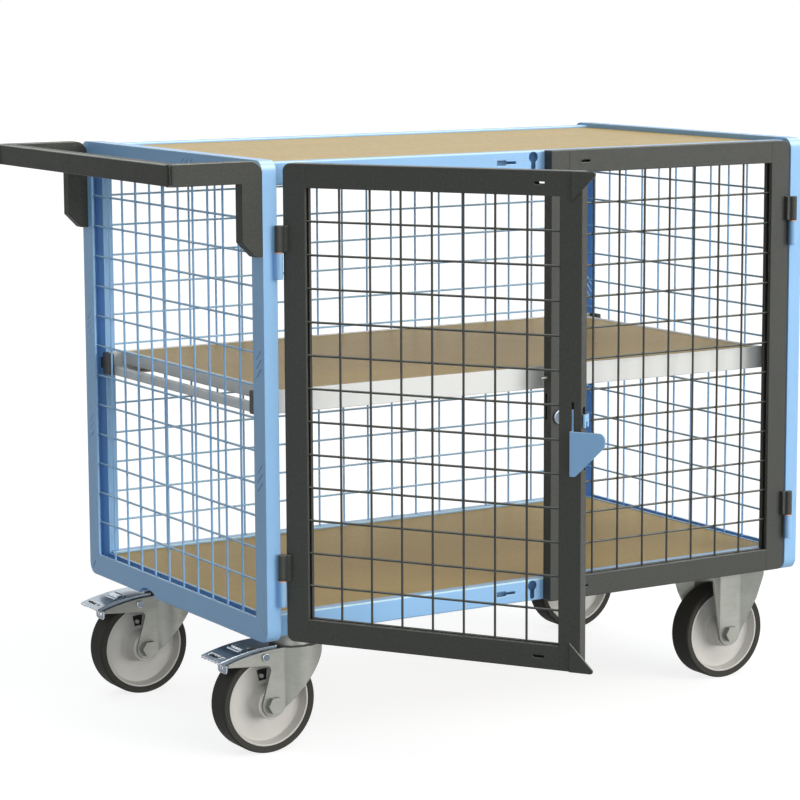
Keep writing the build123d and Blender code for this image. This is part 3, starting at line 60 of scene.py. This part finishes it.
# Light: each lamp has a level, which is what a white face turned to it gets, the direction it comes from,
# its spread in degrees and its colour
WHITE = (1.0, 1.0, 1.0, 1.0)
FILL_LEVEL = 0.10
WARM_WHITE = (1.0, 0.985, 0.945)
COOL_WHITE = (0.94, 0.98, 1.0)
LAMPS = {
    "key": (0.34, (0.40, -0.82, 0.52), 70.0, WARM_WHITE),
    "low": (0.70, (0.48, -0.86, 0.10), 40.0, WARM_WHITE),
    "top": (0.27, (0.10, -0.10, 1.00), 90.0, COOL_WHITE),
    "side": (0.23, (-0.52, -0.84, 0.15), 30.0, COOL_WHITE),
    "back": (0.35, (0.25, 0.90, 0.25), 90.0, COOL_WHITE),
}
FLOOR_SIZE = 40.0
FLOOR_COLOUR = (0.34, 0.34, 0.34)
FLOOR_ROUGHNESS = 0.9
FLOOR_GLOW = 0.82

# Wheels: sized as the solids are, but with rim and tyre 2.5 mm wider on each side
WHEEL_STEPS = 128
WHEEL_ANGLES = np.linspace(0.0, 2 * pi, WHEEL_STEPS, endpoint=False)
WHEEL_RADIUS = 0.080
RIM_RADIUS = 0.069
RIM_HALF = 0.0205
RIM_LIP = 0.0028
RIM_DISH = 0.0030
RIM_WEB_HALF = 0.004
HUB_RADIUS = 0.027
HUB_END_RADIUS = 0.024
HUB_HALF = 0.031
AXLE_BORE = 0.0061
TYRE_HALF = 0.0225
TYRE_LEAN = 0.0015
SHOULDER_DROP = 0.002
SHOULDER_INSET = 0.003

# The pocket in each rim, at so many degrees round the axle, and the nipple in it
POCKET_ANGLES = {"front_left": 94.0, "rear_left": 94.0, "front_right": 90.0, "rear_right": 90.0}
POCKET_SPAN = (0.033, 0.051)
POCKET_HALF_TURN = radians(10.2)
POCKET_DEPTH = 0.006
POCKET_WALL = 0.0003
POCKET_WALL_TURN = 0.006
NIPPLE_AT = 0.039
NIPPLE_RADIUS = 0.0035
NIPPLE_BORE = 0.0004

# Roundings of the wheels' corners, and how their curves are drawn
LIP_ROUND = 0.0012
DISH_ROUND = 0.0016
HUB_ROUND = 0.0020
BORE_ROUND = 0.0006
RIM_SEAT_ROUND = 0.0008
POCKET_ROUND = 1e-5
TYRE_SEAT_ROUND = 0.0010
TYRE_SIDE_ROUND = 0.0008
TREAD_ROUND = 0.0014
NIPPLE_ROUND = 0.0016
NIPPLE_EDGE = 0.0001
CORNER_STEPS = 6
CORNER_LEAD = 1.3
SHARP_ANGLE = radians(38)
SLACK = 1e-6

# Colours, linear
BLUE = (0.300, 0.545, 0.860)
# Painted highlight on the frame's upturned edges and the tops of its wires
BLUE_EDGE_HIGHLIGHT = (0.680, 0.920, 1.000)
ANTHRACITE = (0.049, 0.052, 0.047)
HANDLE_GREY = (0.070, 0.073, 0.066)
PALE_GREY = (0.740, 0.750, 0.740)
BOARD_TAN = (0.545, 0.382, 0.130)
BOARD_DARK = (0.465, 0.312, 0.098)
ZINC = (0.262, 0.267, 0.245)
# Chrome: the dark slate base is a painted dark reflection, and the pale edge colour a painted highlight
CHROME_DARK_REFLECTION = (0.170, 0.205, 0.245)
CHROME_EDGE_HIGHLIGHT = (0.820, 0.840, 0.860)
COPPER = (0.640, 0.270, 0.130)
NYLON = (0.600, 0.585, 0.555)
RUBBER = (0.054, 0.052, 0.047)
CAP_BLACK = (0.022, 0.022, 0.024)

# Finishes: how far each rounds its edges to the light, and single values of the board and the plating
COAT_EDGE = 0.0022
BOARD_EDGE = 0.0010
ZINC_EDGE = 0.0012
PLATE_EDGE = 0.0022
MOULDED_EDGE = 0.0010
EDGE_SAMPLES = 6
EDGE_FACING = 0.80
BOARD_ROUGHNESS = 0.38
BOARD_GLOSS = 0.02
BOARD_RELIEF = 0.00002
ZINC_METALLIC = 0.72
HAIRLINE_RELIEF = 0.000015

# Sockets of a Mix node that mixes colours
MIX_FACTOR = 0
MIX_UNDER = 6
MIX_OVER = 7
MIX_RESULT = 2


def node(tree, kind, inputs=None, **settings):
    """One shader node; an input given another node's socket is linked, and any other value is set."""
    made = tree.nodes.new(kind)
    for name, value in settings.items():
        setattr(made, name, value)
    for key, value in (inputs or {}).items():
        if isinstance(value, bpy.types.NodeSocket):
            tree.links.new(value, made.inputs[key])
        else:
            made.inputs[key].default_value = value
    return made


def finish(name, colour, roughness, metallic=0.0, gloss=0.5):
    """A new material; returns it with its tree, its shader and the object coordinates."""
    material = bpy.data.materials.new(name)
    material.use_nodes = True
    material.diffuse_color = (*colour, 1.0)
    tree = material.node_tree
    shader = tree.nodes["Principled BSDF"]
    shader.inputs["Base Color"].default_value = (*colour, 1.0)
    shader.inputs["Roughness"].default_value = roughness
    shader.inputs["Metallic"].default_value = metallic
    shader.inputs["Specular IOR Level"].default_value = gloss
    place = node(tree, "ShaderNodeTexCoord").outputs["Object"]
    return material, tree, shader, place


def noise(tree, place, cells, detail=3.0, stretch=(1.0, 1.0, 1.0)):
    """Cloudy noise of so many cells to the metre; a stretch under 1 draws it out along that axis."""
    turned = node(tree, "ShaderNodeMapping", {"Vector": place, "Scale": stretch}).outputs["Vector"]
    made = node(tree, "ShaderNodeTexNoise", {"Vector": turned, "Scale": cells, "Detail": detail})
    return made.outputs["Fac"]


def ramp(tree, fac, *stops):
    """A colour ramp between two (place, colour) stops; a plain number makes a grey."""
    made = node(tree, "ShaderNodeValToRGB", {"Fac": fac})
    for point, (place, colour) in zip(made.color_ramp.elements, stops):
        point.position = place
        point.color = (colour, colour, colour, 1.0) if isinstance(colour, float) else (*colour, 1.0)
    return made.outputs["Color"]


def lay_over(tree, fac, under, colour):
    """A plain colour laid over another colour, as far as a factor says."""
    inputs = {MIX_FACTOR: fac, MIX_UNDER: under, MIX_OVER: (*colour, 1.0)}
    return node(tree, "ShaderNodeMix", inputs, data_type="RGBA").outputs[MIX_RESULT]


def combine(tree, operation, first, second):
    """Two values put together by one operation of a Math node."""
    return node(tree, "ShaderNodeMath", {0: first, 1: second}, operation=operation).outputs[0]


def span(tree, value, low, high, at_low=0.0, at_high=1.0):
    """An even change from at_low, where a value is at low, to at_high, where it is at high."""
    limits = {"Value": value, "From Min": low, "From Max": high, "To Min": at_low, "To Max": at_high}
    return node(tree, "ShaderNodeMapRange", limits).outputs["Result"]


def shade(colour, factor):
    """A colour made lighter or darker."""
    return tuple(min(1.0, part * factor) for part in colour)


def round_edges(tree, radius):
    """The surface's normal, turned smoothly from face to face near edges."""
    return node(tree, "ShaderNodeBevel", {"Radius": radius}, samples=EDGE_SAMPLES).outputs["Normal"]


def edge_mask(tree, rounded):
    """1 where a rounded normal leaves that of the flat face, along edges, and 0 elsewhere."""
    flat = node(tree, "ShaderNodeNewGeometry").outputs["True Normal"]
    facing = node(tree, "ShaderNodeVectorMath", {0: rounded, 1: flat}, operation="DOT_PRODUCT")
    return span(tree, facing.outputs["Value"], 1.0, EDGE_FACING)


def roughen(tree, shader, pattern, *stops):
    """Roughness that follows a pattern between two (place, roughness) stops."""
    tree.links.new(ramp(tree, pattern, *stops), shader.inputs["Roughness"])


def bump(tree, shader, height, depth, normal):
    """Relief from a height, of so many metres, over a rounded normal."""
    inputs = {"Height": height, "Distance": depth, "Strength": 1.0, "Normal": normal}
    tree.links.new(node(tree, "ShaderNodeBump", inputs).outputs["Normal"], shader.inputs["Normal"])


def powder_coat(name, colour, roughness, grain, relief, upper_edge_highlight, speckle, gloss):
    """Baked powder coat: fine orange peel, faint clouds of colour and gloss, and a painted highlight on
    upturned edges.

    Grain is in cells to the metre and relief in metres. The colour given for the edges is a painted
    highlight, laid where edges and faces tilt upward. Speckle is the share by which the hollows of the
    grain are darker; its crests are paler by twice that.
    """
    material, tree, shader, place = finish(name, colour, roughness, gloss=gloss)
    rounded = round_edges(tree, COAT_EDGE)
    clouds = noise(tree, place, cells=5.0)
    mottle = noise(tree, place, cells=140.0, detail=2.0)
    grains = noise(tree, place, cells=grain, detail=2.0)
    crests = ramp(tree, grains, (0.50, 0.0), (0.68, 1.0))
    hollows = ramp(tree, grains, (0.32, 1.0), (0.50, 0.0))
    body = ramp(tree, clouds, (0.30, shade(colour, 0.95)), (0.70, shade(colour, 1.04)))
    body = lay_over(tree, crests, body, shade(colour, 1.0 + 2.0 * speckle))
    body = lay_over(tree, hollows, body, shade(colour, 1.0 - speckle))
    # Painted highlight: edges and faces whose rounded normal tilts upward, but not flat tops, are laid over
    # with the edge colour in patches, where overhead light would catch them
    upward = node(tree, "ShaderNodeSeparateXYZ", {"Vector": rounded}).outputs["Z"]
    risen = span(tree, upward, 0.22, 0.50)
    tilted = span(tree, upward, 0.995, 0.92)
    patchy = ramp(tree, noise(tree, place, cells=30.0), (0.30, 0.75), (0.60, 1.0))
    painted_highlight = combine(tree, "MULTIPLY", combine(tree, "MULTIPLY", risen, tilted), patchy)
    tree.links.new(lay_over(tree, painted_highlight, body, upper_edge_highlight), shader.inputs["Base Color"])
    roughen(tree, shader, mottle, (0.3, roughness - 0.05), (0.7, roughness + 0.07))
    bump(tree, shader, grains, relief, rounded)
    return material


def laminate_board(name):
    """Sealed board: short pressed flakes along the length, over slow bands of tone, with a faint sheen."""
    material, tree, shader, place = finish(name, BOARD_TAN, BOARD_ROUGHNESS, gloss=BOARD_GLOSS)
    bands = noise(tree, place, cells=7.0, detail=4.0, stretch=(0.35, 2.2, 1.0))
    flakes = noise(tree, place, cells=260.0, detail=4.0, stretch=(0.45, 1.0, 1.0))
    dust = noise(tree, place, cells=1300.0, detail=1.0)
    body = ramp(tree, bands, (0.25, shade(BOARD_TAN, 0.93)), (0.75, shade(BOARD_TAN, 1.05)))
    body = lay_over(tree, ramp(tree, flakes, (0.42, 0.0), (0.66, 0.45)), body, BOARD_DARK)
    body = lay_over(tree, ramp(tree, dust, (0.55, 0.0), (0.75, 0.35)), body, shade(BOARD_TAN, 1.22))
    tree.links.new(body, shader.inputs["Base Color"])
    roughen(tree, shader, flakes, (0.3, BOARD_ROUGHNESS - 0.06), (0.7, BOARD_ROUGHNESS + 0.06))
    bump(tree, shader, flakes, BOARD_RELIEF, round_edges(tree, BOARD_EDGE))
    return material


def zinc_plate(name, colour, roughness, relief):
    """Zinc plating: soft crystal clouds, fine drawn scratches and edges laid over paler."""
    material, tree, shader, place = finish(name, colour, roughness, metallic=ZINC_METALLIC)
    rounded = round_edges(tree, ZINC_EDGE)
    crystals = node(tree, "ShaderNodeTexVoronoi", {"Vector": place, "Scale": 95.0}).outputs["Color"]
    spangle = node(tree, "ShaderNodeSeparateColor", {"Color": crystals}).outputs[0]
    clouds = noise(tree, place, cells=24.0, detail=4.0)
    scratches = noise(tree, place, cells=420.0, detail=2.0, stretch=(0.08, 1.0, 1.0))
    body = ramp(tree, clouds, (0.25, shade(colour, 0.88)), (0.75, shade(colour, 1.08)))
    body = lay_over(tree, ramp(tree, spangle, (0.0, 0.0), (1.0, 0.16)), body, shade(colour, 1.25))
    body = lay_over(tree, edge_mask(tree, rounded), body, shade(colour, 1.35))
    tree.links.new(body, shader.inputs["Base Color"])
    roughen(tree, shader, scratches, (0.35, roughness - 0.08), (0.65, roughness + 0.10))
    bump(tree, shader, scratches, relief, rounded)
    return material


def bright_plate(name, colour, roughness, edge):
    """Polished plating with faint haze and hairlines, and a painted highlight in another colour along its
    edges.
    """
    material, tree, shader, place = finish(name, colour, roughness, metallic=1.0)
    rounded = round_edges(tree, PLATE_EDGE)
    haze = noise(tree, place, cells=60.0, detail=4.0)
    hairlines = noise(tree, place, cells=900.0, detail=1.0, stretch=(1.0, 0.1, 1.0))
    body = ramp(tree, haze, (0.3, shade(colour, 0.90)), (0.7, shade(colour, 1.06)))
    # Painted highlight: the edge colour laid along every edge
    body = lay_over(tree, edge_mask(tree, rounded), body, edge)
    tree.links.new(body, shader.inputs["Base Color"])
    roughen(tree, shader, haze, (0.3, roughness), (0.7, roughness + 0.10))
    bump(tree, shader, hairlines, HAIRLINE_RELIEF, rounded)
    return material


def moulded(name, colour, roughness, grain, relief, gloss):
    """Moulded plastic or rubber: fine spark grain, soft clouds of tone and a painted highlight along the
    edges.
    """
    material, tree, shader, place = finish(name, colour, roughness, gloss=gloss)
    rounded = round_edges(tree, MOULDED_EDGE)
    clouds = noise(tree, place, cells=18.0, detail=4.0)
    grains = noise(tree, place, cells=grain, detail=2.0)
    body = ramp(tree, clouds, (0.25, shade(colour, 0.90)), (0.75, shade(colour, 1.07)))
    body = lay_over(tree, ramp(tree, grains, (0.45, 0.0), (0.75, 0.25)), body, shade(colour, 0.80))
    # Painted highlight: edges laid over paler, as light rings on rounded corners
    body = lay_over(tree, edge_mask(tree, rounded), body, shade(colour, 1.40))
    tree.links.new(body, shader.inputs["Base Color"])
    roughen(tree, shader, clouds, (0.3, roughness - 0.05), (0.7, roughness + 0.08))
    bump(tree, shader, grains, relief, rounded)
    return material


# In the powder coats, the colour given for the edges is a painted highlight on upturned edges and wire tops
FINISHES = {
    "frame_paint": powder_coat("frame_paint", BLUE, roughness=0.40, grain=600.0, relief=0.000035,
                               upper_edge_highlight=BLUE_EDGE_HIGHLIGHT, speckle=0.01, gloss=0.28),
    "door_paint": powder_coat("door_paint", ANTHRACITE, roughness=0.50, grain=330.0, relief=0.00022,
                              upper_edge_highlight=shade(ANTHRACITE, 5.5), speckle=0.08, gloss=0.28),
    "handle_paint": powder_coat("handle_paint", HANDLE_GREY, roughness=0.50, grain=330.0, relief=0.00018,
                                upper_edge_highlight=shade(HANDLE_GREY, 9.0), speckle=0.08, gloss=0.06),
    "shelf_paint": powder_coat("shelf_paint", PALE_GREY, roughness=0.42, grain=600.0, relief=0.00003,
                               upper_edge_highlight=shade(PALE_GREY, 1.2), speckle=0.01, gloss=0.5),
    "wood": laminate_board("wood"),
    "black_plastic": moulded("black_plastic", CAP_BLACK, roughness=0.48, grain=900.0, relief=0.00005,
                             gloss=0.4),
    "zinc": zinc_plate("zinc", ZINC, roughness=0.46, relief=0.00003),
    # The plates' edge colours are painted highlights, and chrome's dark slate base is a painted dark
    # reflection
    "copper": bright_plate("copper", COPPER, roughness=0.30, edge=shade(COPPER, 1.3)),
    "chrome": bright_plate("chrome", CHROME_DARK_REFLECTION, roughness=0.14, edge=CHROME_EDGE_HIGHLIGHT),
    "rim_nylon": moulded("rim_nylon", NYLON, roughness=0.46, grain=800.0, relief=0.00002, gloss=0.25),
    "tyre_rubber": moulded("tyre_rubber", RUBBER, roughness=0.70, grain=900.0, relief=0.00005, gloss=0.08),
}

slots = {part["node"]: part["material_slot"] for part in frame["record"]["subparts"]}
for name, solid in frame["nodes"].items():
    solid.data.materials.clear()
    solid.data.materials.append(FINISHES[slots[name]])


def add_piece(name, spots, faces, body, slot, *replaced):
    """A smooth mesh of points and quads that rides on a body, in a slot's finish."""
    mesh = bpy.data.meshes.new(name)
    mesh.from_pydata(spots.tolist(), [], faces.tolist())
    mesh.polygons.foreach_set("use_smooth", np.ones(len(mesh.polygons), bool))
    mesh.set_sharp_from_angle(angle=SHARP_ANGLE)
    mesh.materials.append(FINISHES[slot])
    piece = bpy.data.objects.new(name, mesh)
    bpy.context.scene.collection.objects.link(piece)
    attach(piece, body)
    if replaced:
        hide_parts(*replaced)
    return piece


def grid_faces(rows, columns):
    """Quads of a grid of points in row order; each direction's last line is joined to its first."""
    row = np.arange(rows)[:, None]
    column = np.arange(columns)[None, :]
    next_row = (row + 1) % rows
    next_column = (column + 1) % columns
    return np.stack([row * columns + column, row * columns + next_column,
                     next_row * columns + next_column, next_row * columns + column], -1).reshape(-1, 4)


def rounded_loop(corners):
    """A closed outline of (radius, across, rounding) corners, each drawn as a quadratic curve.

    The curve starts one rounding before its corner, ends one rounding after it and is pulled to the corner.
    A point on the straight a little before it and one a little after it keep long faces flat to the light.
    """
    corners = np.array(corners, float)
    corner = corners[:, :2]
    rounding = corners[:, 2:]
    before = np.roll(corner, 1, 0) - corner
    after = np.roll(corner, -1, 0) - corner
    start = corner + rounding * before / np.linalg.norm(before, axis=1, keepdims=True)
    end = corner + rounding * after / np.linalg.norm(after, axis=1, keepdims=True)
    t = np.linspace(0.0, 1.0, CORNER_STEPS)[None, :, None]
    curve = (1 - t) ** 2 * start[:, None] + 2 * t * (1 - t) * corner[:, None] + t ** 2 * end[:, None]
    lead_in = corner + CORNER_LEAD * (start - corner)
    lead_out = corner + CORNER_LEAD * (end - corner)
    return np.concatenate([lead_in[:, None], curve, lead_out[:, None]], 1).reshape(-1, 2)


def both_sides(half):
    """Half an outline of corners, closed by its mirror image across the wheel's middle plane."""
    return rounded_loop(half + [(radius, -across, rounding) for radius, across, rounding in reversed(half)])


def rim_outline():
    """The rim's section from bore to seat, with a hub, a thin web and a dished lip.

    The web has close pairs of points where the pocket's inner and outer walls stand.
    """
    lip_in = RIM_RADIUS - RIM_LIP
    inner, outer = POCKET_SPAN
    return both_sides([(AXLE_BORE, HUB_HALF, BORE_ROUND),
                       (HUB_END_RADIUS, HUB_HALF, HUB_ROUND),
                       (HUB_RADIUS, RIM_WEB_HALF, HUB_ROUND),
                       (inner - POCKET_WALL, RIM_WEB_HALF, POCKET_ROUND),
                       (inner, RIM_WEB_HALF, POCKET_ROUND),
                       (outer, RIM_WEB_HALF, POCKET_ROUND),
                       (outer + POCKET_WALL, RIM_WEB_HALF, POCKET_ROUND),
                       (lip_in - RIM_DISH, RIM_WEB_HALF, DISH_ROUND),
                       (lip_in, RIM_HALF, LIP_ROUND),
                       (RIM_RADIUS, RIM_HALF, RIM_SEAT_ROUND)])


def tyre_outline():
    """The tyre's section: a seat on the rim, sides that lean out and a tread with rounded shoulders."""
    return both_sides([(RIM_RADIUS, TYRE_HALF - TYRE_LEAN, TYRE_SEAT_ROUND),
                       (WHEEL_RADIUS - SHOULDER_DROP, TYRE_HALF, TYRE_SIDE_ROUND),
                       (WHEEL_RADIUS, TYRE_HALF - SHOULDER_INSET, TREAD_ROUND)])


def nipple_outline():
    """The grease nipple's section: a stem as long as the pocket is deep, with a rounded end."""
    return rounded_loop([(NIPPLE_BORE, POCKET_DEPTH, NIPPLE_EDGE),
                         (NIPPLE_RADIUS, POCKET_DEPTH, NIPPLE_EDGE),
                         (NIPPLE_RADIUS, 0.0, NIPPLE_ROUND),
                         (NIPPLE_BORE, 0.0, NIPPLE_EDGE)])


def carry_round(centre, angle, radius, across):
    """An outline carried round an axis along Y, with a row of points at each angle.

    The point at angle a is (centre x + radius cos a, centre y + across, centre z + radius sin a).
    """
    angle, radius, across = np.broadcast_arrays(angle[:, None], radius[None, :], across)
    return np.stack([centre[0] + radius * np.cos(angle), centre[1] + across,
                     centre[2] + radius * np.sin(angle)], -1).reshape(-1, 3)


def turned_ring(name, outline, centre, body, slot, *replaced):
    """A closed outline of (radius, across) points carried round a full turn."""
    spots = carry_round(centre, WHEEL_ANGLES, outline[:, 0], outline[:, 1])
    add_piece(name, spots, grid_faces(WHEEL_STEPS, len(outline)), body, slot, *replaced)


def pocketed_rim(corner, centre):
    """The rim's outline carried round the axle, with one pocket and its nipple in the front of its web.

    Where the radius is within the pocket's span and the angle within its half turn of the pocket's middle,
    points on the front of the web go back by the pocket's depth. Two close lines of points on each side of
    the pocket's edge make its walls, and its faces take the black plastic finish as painted shade.
    """
    middle = radians(POCKET_ANGLES[corner])
    outer_turn = POCKET_HALF_TURN + POCKET_WALL_TURN
    sides = np.array([-outer_turn, -POCKET_HALF_TURN, POCKET_HALF_TURN, outer_turn])
    angle = np.sort(np.concatenate([WHEEL_ANGLES, middle + sides]))
    radius, across = rim_outline().T
    in_span = (radius > POCKET_SPAN[0] - SLACK) & (radius < POCKET_SPAN[1] + SLACK) & (across < 0.0)
    in_turn = np.abs(angle - middle) < POCKET_HALF_TURN + SLACK
    sunk = in_turn[:, None] & in_span[None, :]
    spots = carry_round(centre, angle, radius, across + POCKET_DEPTH * sunk)
    faces = grid_faces(len(angle), len(radius))
    rim = add_piece(f"{corner}_rim_moulding", spots, faces, f"{corner}_wheel", "rim_nylon", f"{corner}_rim")
    # Painted shade: the pocket's faces take the black plastic finish, darker than its shallow depth would
    # shade them
    rim.data.materials.append(FINISHES["black_plastic"])
    painted_shade_faces = sunk.reshape(-1)[faces].any(1)
    rim.data.polygons.foreach_set("material_index", painted_shade_faces.astype(np.int32))
    nipple = (centre[0] + NIPPLE_AT * cos(middle), centre[1] - RIM_WEB_HALF,
              centre[2] + NIPPLE_AT * sin(middle))
    turned_ring(f"{corner}_grease_nipple", nipple_outline(), nipple, f"{corner}_wheel", "rim_nylon")


for corner in POCKET_ANGLES:
    low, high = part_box(f"{corner}_tyre")
    centre = (low + high) / 2
    pocketed_rim(corner, centre)
    turned_ring(f"{corner}_tyre_band", tyre_outline(), centre, f"{corner}_wheel", "tyre_rubber",
                f"{corner}_tyre")


def seen_rays(tree):
    """1 for rays from the camera, in reflections and through glass, and 0 for the others."""
    path = node(tree, "ShaderNodeLightPath").outputs
    seen = combine(tree, "MAXIMUM", path["Is Camera Ray"], path["Is Glossy Ray"])
    return combine(tree, "MAXIMUM", seen, path["Is Transmission Ray"])


def lay_floor():
    """A plain floor, part of whose light is its own to seen rays, so that it looks pale."""
    half = FLOOR_SIZE / 2
    corners = [(-half, -half, 0), (half, -half, 0), (half, half, 0), (-half, half, 0)]
    mesh = bpy.data.meshes.new("floor")
    mesh.from_pydata(corners, [], [(0, 1, 2, 3)])
    material, tree, shader, _ = finish("floor", FLOOR_COLOUR, FLOOR_ROUGHNESS, gloss=0.0)
    glow = combine(tree, "MULTIPLY", seen_rays(tree), FLOOR_GLOW)
    shader.inputs["Emission Color"].default_value = WHITE
    tree.links.new(glow, shader.inputs["Emission Strength"])
    mesh.materials.append(material)
    floor = bpy.data.objects.new("floor", mesh)
    bpy.context.scene.collection.objects.link(floor)


def light_studio():
    """An even fill from the world, white to seen rays, and five broad lamps.

    The key stands high on the right, the low light in front, and the cooler ones overhead, by the camera
    and behind. A sun of strength pi lights a white face turned to it to a level of 1.
    """
    world = bpy.data.worlds.new("studio")
    bpy.context.scene.world = world
    world.use_nodes = True
    tree = world.node_tree
    sky = tree.nodes["Background"]
    sky.inputs["Color"].default_value = WHITE
    strength = span(tree, seen_rays(tree), 0.0, 1.0, FILL_LEVEL, 1.0)
    tree.links.new(strength, sky.inputs["Strength"])
    for name, (level, source, spread, colour) in LAMPS.items():
        lamp = bpy.data.lights.new(name, "SUN")
        lamp.energy = level * pi
        lamp.color = colour
        lamp.angle = radians(spread)
        lit = bpy.data.objects.new(name, lamp)
        lit.rotation_mode = "QUATERNION"
        lit.rotation_quaternion = Vector(source).to_track_quat("Z", "Y")
        bpy.context.scene.collection.objects.link(lit)


def set_camera():
    """The photograph's camera: it looks along a turn about +Z from +Y and a dip, with a small roll."""
    turn, dip, roll = radians(CAMERA_TURN), radians(CAMERA_DIP), radians(CAMERA_ROLL)
    ahead = Vector((sin(turn) * cos(dip), cos(turn) * cos(dip), -sin(dip)))
    right = Vector((cos(turn), -sin(turn), 0.0))
    down = ahead.cross(right)
    rolled_right = right * cos(roll) + down * sin(roll)
    up = right * sin(roll) - down * cos(roll)
    data = bpy.data.cameras.new("camera")
    data.sensor_width = SENSOR_WIDTH
    data.lens = SENSOR_WIDTH * FOCAL_PIXELS / PICTURE_PIXELS
    camera = bpy.data.objects.new("camera", data)
    bpy.context.scene.collection.objects.link(camera)
    turned = Matrix((rolled_right, up, -ahead)).transposed().to_4x4()
    camera.matrix_world = Matrix.Translation(CAMERA_PLACE) @ turned
    bpy.context.scene.camera = camera


lay_floor()
light_studio()
set_camera()
bpy.context.scene.view_settings.view_transform = "Standard"
